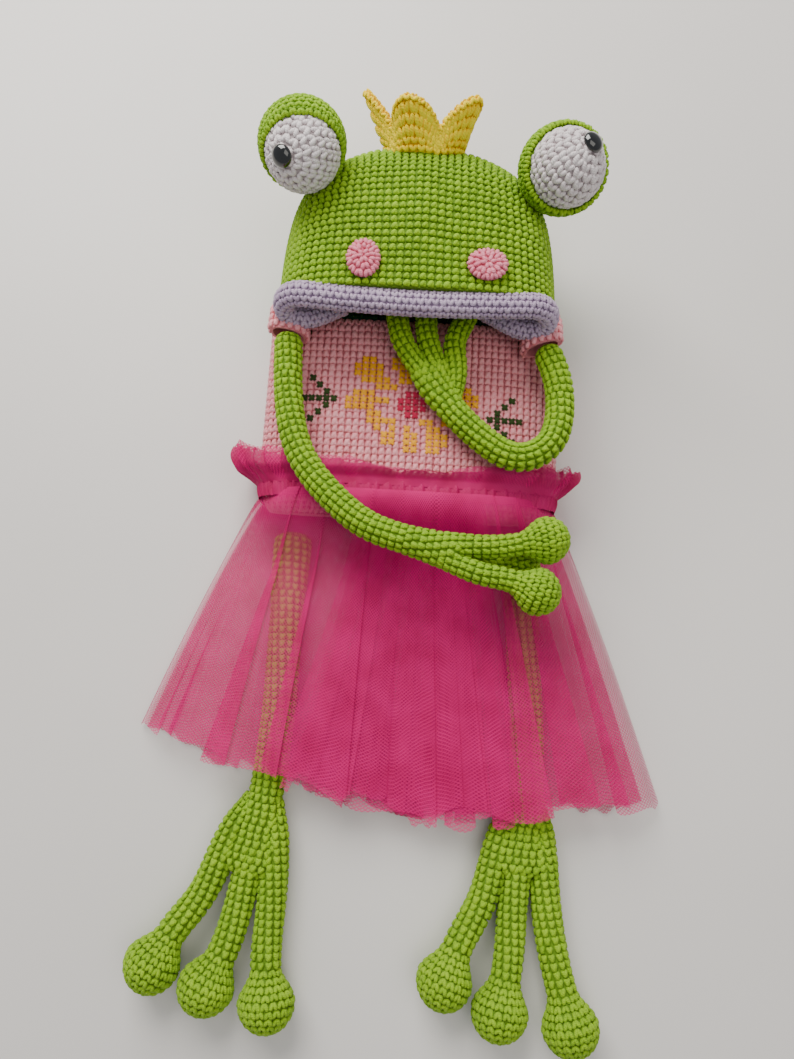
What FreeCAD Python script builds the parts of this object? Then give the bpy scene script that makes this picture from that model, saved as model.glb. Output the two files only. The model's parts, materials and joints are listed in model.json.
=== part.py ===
import FreeCAD, Part
import math
import os
import Sketcher
from FreeCAD import Placement, Rotation, Vector

# A crocheted frog princess hand puppet that is also a zip pouch, lying on its back.
# +X is the onlooker's right, +Y runs from the feet to the crown, +Z is up from the
# table.  The origin is the middle of the pouch's flat back, on the table.
# "left" and "right" in names are the onlooker's.

doc = FreeCAD.newDocument("frog_puppet")
sheet = doc.addObject("Spreadsheet::Sheet", "Sizes")

SIZES = [
    # alias, millimetres or degrees, meaning
    ("gap", 0.4, "clearance between soft pieces that move past each other"),
    ("seam_gap", 0.1, "clearance between pieces sewn to each other"),
    ("knit_wall", 4.0, "thickness of one layer of single crochet"),
    ("pouch_width", 173, "pouch, side to side"),
    ("pouch_depth", 45, "pouch, back to front"),
    ("pouch_top", 46, "mouth edge of the pouch, above the origin"),
    ("pouch_bottom", 65, "closed end of the pouch, below the origin"),
    ("pouch_round", 17, "rounding of the pouch's front edges"),
    ("back_round", 5, "rounding of the pouch's back edges"),
    ("waist_top", 48, "where the skirt starts on the pouch, below the origin"),
    ("waist_inset", 2.8, "how far the skirt's bands draw the pouch in"),
    ("hood_rise", 47, "front of the head above the pouch's front"),
    ("hood_narrowing", 15, "how much narrower than the pouch the head is"),
    ("hood_length", 111.5, "mouth rim to the top seam of the head"),
    ("hood_wall", 4.5, "crochet wall of the head"),
    ("hood_round", 40, "rounding of the head's front edges at the mouth"),
    ("back_panel", 4.4, "back panel of the head"),
    ("lip_diameter", 15, "rolled upper lip"),
    ("fold_diameter", 10, "lower lip folds at the mouth's corners"),
    ("fold_length", 20, "length of each lower lip fold"),
    ("tape_thickness", 0.8, "woven zip tape"),
    ("tape_width", 14.5, "width of each zip tape"),
    ("zip_length", 134, "length of the lower tape"),
    ("upper_zip_length", 76, "length of the tape sewn in the upper lip"),
    ("coil_width", 2.4, "nylon coil across"),
    ("coil_height", 1.8, "nylon coil thickness"),
    ("slider_length", 9, "zip slider along the coil"),
    ("slider_rest", 52, "where the slider is parked, right of the middle"),
    ("slider_plate", 1.1, "thickness of the slider's plates"),
    ("puller_length", 20, "zip puller"),
    ("puller_width", 5, "zip puller"),
    ("puller_thickness", 1.1, "zip puller"),
    ("band_width", 8, "skirt waistband along the pouch"),
    ("elastic_thickness", 0.8, "elastic inside the waistband"),
    ("band_thickness", 1.6, "gathered tulle waistband"),
    ("ruffle_length", 17, "tulle header above the waistband"),
    ("ruffle_rise", 3.4, "thickness of the header on the pouch"),
    ("ruffle_overhang", 11, "how far the header stands out at the sides"),
    ("tulle_thickness", 1.2, "gathered tulle of the skirt"),
    ("hem_width", 292, "skirt hem, side to side"),
    ("hem_drop", 220, "skirt hem, below the origin"),
    ("arm_diameter", 16.2, "arm"),
    ("finger_diameter", 12.9, "finger"),
    ("finger_ball", 26, "ball at each finger's tip"),
    ("leg_diameter", 19.2, "leg"),
    ("toe_diameter", 16.4, "toe"),
    ("toe_ball", 30.4, "ball at each toe's tip"),
    ("palm_length", 28, "palm along the arm"),
    ("palm_width", 26, "palm across"),
    ("palm_thickness", 15, "palm"),
    ("foot_length", 44, "foot along the leg"),
    ("foot_width", 40, "foot across the toes"),
    ("foot_thickness", 18, "foot"),
    ("sleeve_length", 8, "sleeve cap along the arm"),
    ("sleeve_width", 23, "sleeve cap across the arm"),
    ("sleeve_height", 15, "sleeve cap above the pouch"),
    ("cup_diameter", 48, "green eyelid cup"),
    ("cup_wall", 3.3, "eyelid cup"),
    ("cup_edge", 5, "degrees that the cup reaches past its middle"),
    ("ball_out", 5, "how far the eyeball stands out of its cup"),
    ("eyeball_diameter", 40, "white eyeball"),
    ("eyeball_wall", 3.5, "crochet wall of the eyeball"),
    ("eye_drop", 2, "eye centres below the front of the head"),
    ("pupil_diameter", 12, "safety eye"),
    ("pupil_rise", 3.6, "safety eye's dome"),
    ("stem_diameter", 3.6, "safety eye's stem"),
    ("stem_length", 10, "safety eye's stem"),
    ("washer_diameter", 13, "safety eye's washer"),
    ("washer_thickness", 1.4, "safety eye's washer"),
    ("cheek_diameter", 20, "round cheek"),
    ("cheek_rise", 4, "round cheek"),
    ("crown_base", 46, "crown at the head"),
    ("crown_flare", 62, "crown at the petal tips"),
    ("crown_height", 33, "crown"),
    ("crown_wall", 3, "crown"),
    ("petal_notch", 21, "depth of the notch between two crown petals"),
    ("stitch_rise", 0.8, "embroidery above the pouch"),
    ("petal_ring", 22, "flower centre to the middle of a petal"),
    ("petal_long", 17, "embroidered petal, outwards"),
    ("petal_wide", 12, "embroidered petal, across"),
    ("flower_core", 22, "embroidered flower centre"),
    ("leaf_reach", 52, "flower centre to the middle of a leaf sprig"),
]

for row, (alias, number, meaning) in enumerate(SIZES, start=1):
    sheet.set(f"A{row}", meaning)
    sheet.set(f"B{row}", str(number))
    sheet.setAlias(f"B{row}", alias)
doc.recompute()

NAMES = sorted((alias for alias, _, _ in SIZES), key=len, reverse=True)


def formula(text):
    """A formula in the sheet's words, written the way an expression needs it."""
    words = text.replace("(", " ( ").replace(")", " ) ").split()
    return " ".join(f"Sizes.{word}" if word in NAMES else word for word in words)


def size(text):
    """The present value of a formula in the sheet's words."""
    return float(sheet.evalExpression(formula(text)))


def bind(thing, prop, text):
    """Tie a property or a sketch dimension to a formula in the sheet's words."""
    thing.setExpression(prop, formula(text))


# Levels and places that several pieces share, as formulas in the sheet's words.
WAIST = "( pouch_depth - waist_inset )"
HOOD_WIDTH = "( pouch_width - hood_narrowing )"
HOOD_HEIGHT = "( pouch_depth + hood_rise )"
EYE_LEVEL = f"( {HOOD_HEIGHT} - eye_drop )"
BAND_STACK = "( elastic_thickness + band_thickness + 2 * seam_gap )"
RUFFLE_TOP = "( pouch_depth + ruffle_rise + seam_gap )"
ARM_LEVEL = f"( {RUFFLE_TOP} + arm_diameter / 2 + 4 * gap )"
HAND_LEVEL = "( pouch_depth + seam_gap + stitch_rise + finger_ball / 2 + 2 * gap )"
LOW_FINGER = f"( {HAND_LEVEL} - 22.1 )"
LOW_ROOT = f"( {ARM_LEVEL} - palm_thickness / 2 - 4.2 )"
LEG_LEVEL = "( tulle_thickness + gap + leg_diameter / 2 )"
TOE_LEVEL = "( toe_ball / 2 + seam_gap )"
SKIRT_TOP = "( waist_top + 4 * seam_gap + band_width )"
HIP_Y = "( pouch_bottom + leg_diameter / 2 + 2 * gap )"
HOOD_RIM = "( pouch_top + 4 * gap )"
HOOD_FLOOR = "( back_panel + gap )"
LIP_Y = f"( {HOOD_RIM} - lip_diameter / 2 - seam_gap )"
LIP_TOP = f"( {HOOD_HEIGHT} - lip_diameter / 2 - gap )"
LIP_BEND = f"( {LIP_TOP} - {ARM_LEVEL} - arm_diameter / 2 - 1.1 )"
TAPE_LEVEL = "( pouch_depth - knit_wall - seam_gap - tape_thickness )"
SHOULDER_X = "( pouch_width / 2 - 13.5 )"
SHOULDER_Y = "( pouch_top - arm_diameter / 2 - 7.9 )"

pieces = []


def register(thing, label):
    """Name a finished sub-part; its label names its file."""
    thing.Label = label
    pieces.append(thing)
    return thing


def new_body(name):
    return doc.addObject("PartDesign::Body", name + "_body")


def place(thing, x, y, z, turn=None):
    """Move a sub-part to a point given by formulas, after an optional rotation."""
    thing.Placement = Placement(Vector(size(x), size(y), size(z)), turn or Rotation())
    bind(thing, ".Placement.Base.x", x)
    bind(thing, ".Placement.Base.y", y)
    bind(thing, ".Placement.Base.z", z)


def origin_part(body, role):
    """One of the body's own origin planes or axes."""
    return next(f for f in body.Origin.OriginFeatures if f.Role == role)


def sketch_on(body, role, offset="0", back=False):
    """A sketch on one of the body's own origin planes, moved along its normal."""
    sketch = body.newObject("Sketcher::SketchObject", "sketch")
    sketch.AttachmentSupport = (origin_part(body, role), [""])
    sketch.MapMode = "FlatFace"
    shift = f"0 - ( {offset} )" if back else offset
    sketch.AttachmentOffset = Placement(Vector(0, 0, size(shift)), Rotation())
    bind(sketch, "AttachmentOffset.Base.z", shift)
    return sketch


def dimension(sketch, constraint, text):
    """Add a driving dimension that follows a formula in the sheet's words."""
    index = sketch.addConstraint(constraint)
    sketch.setExpression(f"Constraints[{index}]", formula(text))


def finish_body(body, label, tip):
    body.Tip = tip
    doc.recompute()
    return register(body, label)


def slab_outline(sketch, half, low, high, top_round, low_round):
    """A closed outline, flat below and above, rounded at its four corners."""
    w, z0, z1 = size(half), size(low), size(high)
    r1, r0 = size(top_round), size(low_round)

    def arc(x, z, r, start):
        circle = Part.Circle(Vector(x, z, 0), Vector(0, 0, 1), r)
        return Part.ArcOfCircle(circle, math.radians(start), math.radians(start + 90))

    first = sketch.GeometryCount
    lines = [
        Part.LineSegment(Vector(-w + r0, z0, 0), Vector(w - r0, z0, 0)),
        arc(w - r0, z0 + r0, r0, 270),
        Part.LineSegment(Vector(w, z0 + r0, 0), Vector(w, z1 - r1, 0)),
        arc(w - r1, z1 - r1, r1, 0),
        Part.LineSegment(Vector(w - r1, z1, 0), Vector(-w + r1, z1, 0)),
        arc(-w + r1, z1 - r1, r1, 90),
        Part.LineSegment(Vector(-w, z1 - r1, 0), Vector(-w, z0 + r0, 0)),
        arc(-w + r0, z0 + r0, r0, 180),
    ]
    sketch.addGeometry(lines, False)
    for n in range(8):
        here, there = first + n, first + (n + 1) % 8
        sketch.addConstraint(Sketcher.Constraint("Tangent", here, 2, there, 1))
    for n, way in enumerate(("Horizontal", "Vertical", "Horizontal", "Vertical")):
        sketch.addConstraint(Sketcher.Constraint(way, first + 2 * n))
    sketch.addConstraint(Sketcher.Constraint("Equal", first + 3, first + 5))
    sketch.addConstraint(Sketcher.Constraint("Equal", first + 1, first + 7))
    dimension(sketch, Sketcher.Constraint("Radius", first + 1, r0), low_round)
    dimension(sketch, Sketcher.Constraint("Radius", first + 3, r1), top_round)
    dimension(sketch, Sketcher.Constraint("DistanceX", -1, 1, first + 2, 1, w), half)
    dimension(sketch, Sketcher.Constraint("DistanceX", first + 6, 1, -1, 1, w), half)
    dimension(sketch, Sketcher.Constraint("DistanceY", -1, 1, first, 1, z0), low)
    dimension(sketch, Sketcher.Constraint("DistanceY", -1, 1, first + 4, 1, z1), high)


def section(body, y, *outline):
    """A slab outline standing across the Y axis at height y."""
    sketch = sketch_on(body, "XZ_Plane", y, back=True)
    slab_outline(sketch, *outline)
    return sketch


def settle(body, feature):
    """Work a new feature out and make it the body's result so far."""
    doc.recompute()
    body.Tip = feature
    doc.recompute()
    return feature


def pad_along_y(body, sketch, length, up=True):
    """Extrude a cross section towards +Y, or towards -Y when up is false."""
    pad = body.newObject("PartDesign::Pad", "pad")
    pad.Profile = sketch
    pad.Length = size(length)
    bind(pad, "Length", length)
    pad.Reversed = up
    return settle(body, pad)


def pocket_along_y(body, sketch, length, up=True):
    """Cut a cross section towards +Y, or towards -Y when up is false."""
    before = body.Tip.Shape.Volume
    pocket = body.newObject("PartDesign::Pocket", "pocket")
    pocket.Profile = sketch
    pocket.Length = size(length)
    bind(pocket, "Length", length)
    pocket.Reversed = not up
    settle(body, pocket)
    if pocket.Shape.Volume > before - 1:
        raise ValueError(f"{body.Name}: a pocket cut nothing")
    return pocket


def loft(body, kind, sections, ruled=False):
    """A smooth or straight-ruled skin through cross sections, added or cut away."""
    skin = body.newObject(f"PartDesign::{kind}Loft", "loft")
    skin.Profile = sections[0]
    skin.Sections = sections[1:]
    skin.Ruled = ruled
    return settle(body, skin)


# --- the pouch and what is sewn to it ---------------------------------------

def pouch_shell():
    """Crocheted pouch: closed at the bottom, open at the mouth, drawn in at the waist."""
    body = new_body("pouch")
    main = section(body, "0 - waist_top", "pouch_width / 2", "0", "pouch_depth",
                   "pouch_round", "back_round")
    pad_along_y(body, main, "pouch_top + waist_top")
    inset = "pouch_width / 2 - waist_inset"
    lower = section(body, "0 - pouch_bottom", inset, "waist_inset", WAIST,
                    "pouch_round - waist_inset", "back_round")
    pad_along_y(body, lower, "pouch_bottom - waist_top + knit_wall")
    inner = "pouch_width / 2 - waist_inset - knit_wall"
    hollow = section(body, "pouch_top", inner, "waist_inset + knit_wall",
                     f"{WAIST} - knit_wall", "pouch_round - knit_wall", "back_round")
    pocket_along_y(body, hollow, "pouch_top + pouch_bottom - knit_wall", up=False)
    mouth = section(body, "pouch_top", "pouch_width / 2 - knit_wall", "knit_wall",
                    "pouch_depth - knit_wall", "pouch_round - knit_wall", "back_round")
    cut = pocket_along_y(body, mouth, "pouch_top + waist_top - knit_wall", up=False)
    return finish_body(body, "pouch_shell", cut)


def ring(label, y, length, outer, inner, rounding):
    """A flat band round the drawn-in waist: two offsets from the waist's surface."""
    body = new_body(label)
    sketch = sketch_on(body, "XZ_Plane", y, back=True)
    for offset in (outer, inner):
        slab_outline(sketch, f"pouch_width / 2 - waist_inset + {offset}",
                     f"waist_inset - ( {offset} )", f"{WAIST} + {offset}",
                     f"{rounding} + {offset}", f"back_round + {offset}")
    pad = pad_along_y(body, sketch, length)
    return finish_body(body, label, pad)


def skirt_bands():
    """Elastic against the pouch, with the gathered tulle waistband over it."""
    start = f"0 - ( {SKIRT_TOP} )"
    rounding = "pouch_round - waist_inset"
    ring("skirt_elastic", f"{start} + 1", "band_width - 2",
         "elastic_thickness + seam_gap", "seam_gap", rounding)
    ring("skirt_waistband", start, "band_width", BAND_STACK,
         "elastic_thickness + 2 * seam_gap", rounding)


def skirt_ruffle():
    """Tulle header that stands over the pouch's front and sides above the waistband."""
    body = new_body("ruffle")
    start = f"0 - ( {SKIRT_TOP} )"
    half = "pouch_width / 2 + ruffle_overhang"
    outer = section(body, start, half, "gap", RUFFLE_TOP, "pouch_round", "4")
    pad_along_y(body, outer, "ruffle_length")
    inner = section(body, start, "pouch_width / 2 + seam_gap", "0 - 8",
                    "pouch_depth + seam_gap", "pouch_round", "2")
    cut = pocket_along_y(body, inner, "ruffle_length")
    return finish_body(body, "skirt_ruffle", cut)


def skirt_tulle():
    """Gathered skirt: a thin tent from the waistband to a wide hem over the legs."""
    body = new_body("tulle")
    roof = "2 * tulle_thickness + 2.5 * gap + leg_diameter"
    stations = [
        (f"0 - ( {SKIRT_TOP} + seam_gap )", "pouch_width / 2 + 3", "pouch_depth", "12"),
        ("0 - ( pouch_bottom + 2 )", "pouch_width / 2 + 6", "pouch_depth", "12"),
        ("0 - ( pouch_bottom + 14 )", "pouch_width / 2 + 14", roof, "8"),
        ("0 - hem_drop", "hem_width / 2", roof, "8"),
    ]
    outer = [section(body, y, w, "0", z, r, "0.5") for y, w, z, r in stations]
    loft(body, "Additive", outer, ruled=True)
    wall = "tulle_thickness"
    inner = [
        section(body, y, f"{w} - {wall}", wall, f"{z} - {wall}", f"{r} - {wall}", "0.3")
        for y, w, z, r in stations
    ]
    cut = loft(body, "Subtractive", inner, ruled=True)
    return finish_body(body, "skirt_tulle", cut)


def sleeve(label, side):
    """Rounded cap of the short sleeve, behind the end of the arm."""
    body = new_body(label)
    outline = section(body, "0", "sleeve_width / 2", "0", "sleeve_height", "6", "1")
    pad = pad_along_y(body, outline, "sleeve_length")
    x = f"{side} * ( {SHOULDER_X} + 1 )"
    y = f"{SHOULDER_Y} + arm_diameter / 2 + gap"
    place(body, x, y, "pouch_depth + seam_gap")
    return finish_body(body, label, pad)


def stitched(label, draw, x, y):
    """Embroidery: closed outlines on the pouch's front, raised by the thread."""
    sketch = doc.addObject("Sketcher::SketchObject", label + "_outline")
    sketch.addGeometry(draw(), False)
    doc.recompute()
    thread = doc.addObject("Part::Extrusion", label + "_thread")
    thread.Base = sketch
    thread.DirMode = "Custom"
    thread.Dir = Vector(0, 0, 1)
    thread.Solid = True
    thread.LengthFwd = size("stitch_rise")
    bind(thread, "LengthFwd", "stitch_rise")
    place(thread, x, y, "pouch_depth + seam_gap")
    doc.recompute()
    return register(thread, label)


def petal_outlines():
    """Eight ellipses in a ring round the flower's centre."""
    ring_radius, long, wide = size("petal_ring"), size("petal_long"), size("petal_wide")
    ellipses = []
    for n in range(8):
        angle = math.radians(22.5 + 45 * n)
        out = Vector(math.cos(angle), math.sin(angle), 0)
        across = Vector(-out.y, out.x, 0)
        centre = out * ring_radius
        tip = centre + out * (long / 2)
        ellipses.append(Part.Ellipse(tip, centre + across * (wide / 2), centre))
    return ellipses


def core_outline():
    return [Part.Circle(Vector(0, 0, 0), Vector(0, 0, 1), size("flower_core") / 2)]


def leaf_outline(side):
    """A sprig of three leaves on a stem, pointing at the flower."""
    points = [(-11, 0), (-7, 4), (-5, 3), (1, 16), (7, 16), (0, 3), (12, 3)]
    corners = points + [(x, -y) for x, y in reversed(points[1:])]
    ends = [Vector(side * x, y, 0) for x, y in corners]
    return [Part.LineSegment(a, b) for a, b in zip(ends, ends[1:] + ends[:1])]


def embroidery():
    stitched("flower_petals", petal_outlines, "0", "0 - 4")
    stitched("flower_centre", core_outline, "0", "0 - 4")
    stitched("leaf_left", lambda: leaf_outline(-1), "0 - leaf_reach", "0 - 1")
    stitched("leaf_right", lambda: leaf_outline(1), "leaf_reach", "0 - 8")


def back_panel():
    """Back of the head: the pouch's back carried up behind the hood."""
    body = new_body("hood_back")
    sketch = sketch_on(body, "XY_Plane")
    top = size("pouch_top + hood_length")
    half = size(f"{HOOD_WIDTH} / 2 - 3")
    base = size("pouch_top")
    corners = [(-half, base), (half, base), (half, top - 45), (half - 14, top - 18),
               (half - 46, top), (-half + 46, top), (-half + 14, top - 18),
               (-half, top - 45)]
    ends = [Vector(x, y, 0) for x, y in corners]
    edges = [Part.LineSegment(a, b) for a, b in zip(ends, ends[1:] + ends[:1])]
    sketch.addGeometry(edges, False)
    pad = body.newObject("PartDesign::Pad", "pad")
    pad.Profile = sketch
    pad.Length = size("back_panel")
    bind(pad, "Length", "back_panel")
    return finish_body(body, "hood_back", pad)


def lower_lip():
    """The lip's lower edge: a fold of crochet at each corner of the mouth."""
    folds = []
    for side in (-1, 1):
        fold = doc.addObject("Part::Cylinder", "fold")
        fold.Radius = size("fold_diameter / 2")
        fold.Height = size("fold_length")
        bind(fold, "Radius", "fold_diameter / 2")
        bind(fold, "Height", "fold_length")
        start = f"{side} * ( {HOOD_WIDTH} / 2 - hood_wall - 4 )"
        turn = Rotation(Vector(0, 1, 0), -90 * side)
        place(fold, start, f"{HOOD_RIM} + fold_diameter / 2",
              "pouch_depth + fold_diameter / 2 + 4 * gap", turn)
        folds.append(fold)
    pair = doc.addObject("Part::Compound", "folds")
    pair.Links = folds
    doc.recompute()
    return register(pair, "lower_lip")


# --- the zip -----------------------------------------------------------------

def block(name, x, y, z, length, width, height):
    """A Part::Box bound to formulas: lowest corner, then its three sizes."""
    box = doc.addObject("Part::Box", name)
    for prop, text in (("Length", length), ("Width", width), ("Height", height)):
        setattr(box, prop, size(text))
        bind(box, prop, text)
    place(box, x, y, z)
    return box


COIL_Y = "( pouch_top + 4.5 )"
COIL_LOW = f"( {TAPE_LEVEL} + tape_thickness / 2 - coil_height / 2 )"


def zip_halves():
    """Each half is a woven tape with a nylon coil along its free edge."""
    left = "0 - zip_length / 2"
    tape = block("lower_tape", left, f"{COIL_Y} - tape_width", TAPE_LEVEL,
                 "zip_length", "tape_width", "tape_thickness")
    register(tape, "zip_lower_tape")
    coil = block("lower_coil", left, COIL_Y, COIL_LOW,
                 "zip_length", "coil_width", "coil_height")
    register(coil, "zip_lower_coil")
    left = "0 - upper_zip_length / 2"
    level = f"{HOOD_HEIGHT} - hood_wall - coil_height - 2 * gap"
    front = f"{HOOD_RIM} + gap"
    coil = block("upper_coil", left, front, level,
                 "upper_zip_length", "coil_width", "coil_height")
    register(coil, "zip_upper_coil")
    tape = block("upper_tape", left, f"{front} + coil_width", f"{level} + gap",
                 "upper_zip_length", "tape_width", "tape_thickness")
    register(tape, "zip_upper_tape")


def zip_slider():
    """Slider: two plates round the coil, joined by a neck beyond the coil's edge."""
    body = new_body("slider")
    sketch = sketch_on(body, "YZ_Plane")
    reach, plate = size("coil_width + 1"), size("slider_plate")
    gap, neck = size("gap"), 1.6
    inside = size("coil_height") + 2 * gap
    high = inside + 2 * plate
    corners = [(0, 0), (reach + gap + neck, 0), (reach + gap + neck, high), (0, high),
               (0, high - plate), (reach + gap, high - plate), (reach + gap, plate),
               (0, plate)]
    ends = [Vector(y, z, 0) for y, z in corners]
    edges = [Part.LineSegment(a, b) for a, b in zip(ends, ends[1:] + ends[:1])]
    sketch.addGeometry(edges, False)
    pad = body.newObject("PartDesign::Pad", "pad")
    pad.Profile = sketch
    pad.Length = size("slider_length")
    bind(pad, "Length", "slider_length")
    place(body, "slider_rest", f"{COIL_Y} - 1", f"{COIL_LOW} - gap - slider_plate")
    return finish_body(body, "zip_slider", pad)


SLIDER_TOP = f"( {COIL_LOW} + coil_height + gap + slider_plate )"


def zip_puller():
    """Flat tab that hangs from the slider and lies back into the mouth."""
    body = new_body("puller")
    sketch = sketch_on(body, "XY_Plane")
    half, length = size("puller_width / 2"), size("puller_length")
    sketch.addGeometry([
        Part.LineSegment(Vector(-half, 0, 0), Vector(half, 0, 0)),
        Part.LineSegment(Vector(half, 0, 0), Vector(half, length - half, 0)),
        Part.Arc(Vector(half, length - half, 0), Vector(0, length, 0),
                 Vector(-half, length - half, 0)),
        Part.LineSegment(Vector(-half, length - half, 0), Vector(-half, 0, 0)),
        Part.Circle(Vector(0, length - half, 0), Vector(0, 0, 1), half / 2),
    ], False)
    pad = body.newObject("PartDesign::Pad", "pad")
    pad.Profile = sketch
    pad.Length = size("puller_thickness")
    bind(pad, "Length", "puller_thickness")
    place(body, "slider_rest + slider_length / 2", f"{COIL_Y} + coil_width",
          f"{SLIDER_TOP} + gap")
    return finish_body(body, "zip_puller", pad)


# --- the head ----------------------------------------------------------------

HOOD_STATIONS = [
    # share of the hood's length, share of its half width and of its height, rounding
    (0.00, 1.00, 1.00, "hood_round"),
    (0.34, 0.99, 0.99, "hood_round"),
    (0.62, 0.89, 0.90, "hood_round * 0.9"),
    (0.84, 0.66, 0.70, "hood_round * 0.7"),
    (1.00, 0.34, 0.42, "hood_round * 0.4"),
]


def hood_front():
    """Front of the head: a rounded crochet hood, open at the mouth and at the back."""
    body = new_body("hood")
    outer, inner = [], []
    for share, wide, high, rounding in HOOD_STATIONS:
        y = f"{HOOD_RIM} + hood_length * {share}"
        half, top = f"{HOOD_WIDTH} / 2 * {wide}", f"{HOOD_HEIGHT} * {high}"
        outer.append(section(body, y, half, HOOD_FLOOR, top, rounding, "1.5"))
    loft(body, "Additive", outer)
    for share, wide, high, rounding in HOOD_STATIONS:
        y = f"{HOOD_RIM} + ( hood_length - hood_wall ) * {share} - 0.01"
        half = f"{HOOD_WIDTH} / 2 * {wide} - hood_wall"
        top = f"{HOOD_HEIGHT} * {high} - hood_wall"
        inner.append(section(body, y, half, "0 - 1", top, f"{rounding} - hood_wall", "1.5"))
    return finish_body(body, "hood_front", loft(body, "Subtractive", inner))


def swept(body, edges, diameter):
    """A round bar along a path of edges drawn in the body's own XY plane."""
    path = sketch_on(body, "XY_Plane")
    path.addGeometry(edges, False)
    profile = body.newObject("Sketcher::SketchObject", "profile")
    profile.AttachmentSupport = (path, ["Edge1"])
    profile.MapMode = "NormalToEdge"
    radius = size(f"{diameter} / 2")
    profile.addGeometry(Part.Circle(Vector(0, 0, 0), Vector(0, 0, 1), radius), False)
    profile.addConstraint(Sketcher.Constraint("Coincident", 0, 3, -1, 1))
    dimension(profile, Sketcher.Constraint("Radius", 0, radius), f"{diameter} / 2")
    doc.recompute()
    pipe = body.newObject("PartDesign::AdditivePipe", "pipe")
    pipe.Profile = profile
    pipe.Spine = (path, [f"Edge{n + 1}" for n in range(len(edges))])
    return settle(body, pipe)


def rounded_path(points):
    """Straight runs joined by tangent arcs, as large as the shorter run allows."""
    corners = [Vector(*p, 0) for p in points]
    edges, here = [], corners[0]
    for before, corner, after in zip(corners, corners[1:], corners[2:]):
        come, go = corner - before, after - corner
        run = min(come.Length, go.Length)
        turn = come.getAngle(go)
        come.normalize()
        go.normalize()
        cut = 0.45 * run
        start, end = corner - come * cut, corner + go * cut
        radius = cut / math.tan(turn / 2)
        inward = (go - come).normalize()
        middle = corner + inward * (radius / math.cos(turn / 2) - radius)
        edges.append(Part.LineSegment(here, start))
        edges.append(Part.Arc(start, middle, end))
        here = end
    edges.append(Part.LineSegment(here, corners[-1]))
    return edges


def upper_lip():
    """Rolled lip round the hood's rim, bent down at both corners of the mouth."""
    body = new_body("lip")
    half = size(f"{HOOD_WIDTH} / 2 - lip_diameter / 2 + 5")
    bend = size(LIP_BEND)
    edges = [
        Part.Arc(Vector(-half, -bend, 0), Vector(-half + bend * (1 - math.sqrt(0.5)),
                 -bend * (1 - math.sqrt(0.5)), 0), Vector(-half + bend, 0, 0)),
        Part.LineSegment(Vector(-half + bend, 0, 0), Vector(half - bend, 0, 0)),
        Part.Arc(Vector(half - bend, 0, 0), Vector(half - bend * (1 - math.sqrt(0.5)),
                 -bend * (1 - math.sqrt(0.5)), 0), Vector(half, -bend, 0)),
    ]
    pipe = swept(body, edges, "lip_diameter")
    place(body, "0", LIP_Y, LIP_TOP, Rotation(Vector(1, 0, 0), 90))
    return finish_body(body, "upper_lip", pipe)


def revolved(label, edges, x, y, z, axis):
    """A body of revolution about its own Z axis, turned so that Z points along axis."""
    body = new_body(label)
    sketch = sketch_on(body, "XZ_Plane")
    sketch.addGeometry(edges, False)
    doc.recompute()
    turned = body.newObject("PartDesign::Revolution", "turned")
    turned.Profile = sketch
    turned.ReferenceAxis = (sketch, ["V_Axis"])
    turned.Angle = 360
    place(body, x, y, z, Rotation(Vector(0, 0, 1), Vector(*axis)))
    return finish_body(body, label, turned)


def polar(radius, degrees):
    angle = math.radians(degrees)
    return Vector(radius * math.cos(angle), radius * math.sin(angle), 0)


def cap(radius, rise, level=0.0):
    """Arc of a spherical cap, from its rim to its top on the axis."""
    ball_radius = (radius ** 2 + rise ** 2) / (2 * rise)
    half_angle = math.asin(min(1.0, radius / ball_radius)) / 2
    centre = level + rise - ball_radius
    middle = Vector(ball_radius * math.sin(half_angle),
                    centre + ball_radius * math.cos(half_angle), 0)
    return Part.Arc(Vector(radius, level, 0), middle, Vector(0, level + rise, 0))


def shell_outline(outer, inner, edge, hole):
    """Half section of a ball's wall: open above the edge angle, or at a small hole."""
    if hole:
        top_out = Vector(hole, math.sqrt(outer ** 2 - hole ** 2), 0)
        top_in = Vector(hole, math.sqrt(inner ** 2 - hole ** 2), 0)
    else:
        top_out, top_in = polar(outer, edge), polar(inner, edge)
    return [
        Part.Arc(top_out, polar(outer, -35), Vector(0, -outer, 0)),
        Part.LineSegment(Vector(0, -outer, 0), Vector(0, -inner, 0)),
        Part.Arc(Vector(0, -inner, 0), polar(inner, -35), top_in),
        Part.LineSegment(top_in, top_out),
    ]


EYES = {
    # side of the face, above the rim's level, cup's opening and pupil's direction
    "left": ("0 - 71.5", 130, (0.16, -0.52, 0.84), (-0.37, -0.72, 0.59)),
    "right": ("77.5", 123, (0.05, -0.10, 0.99), (0.52, 0.21, 0.83)),
}


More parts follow.
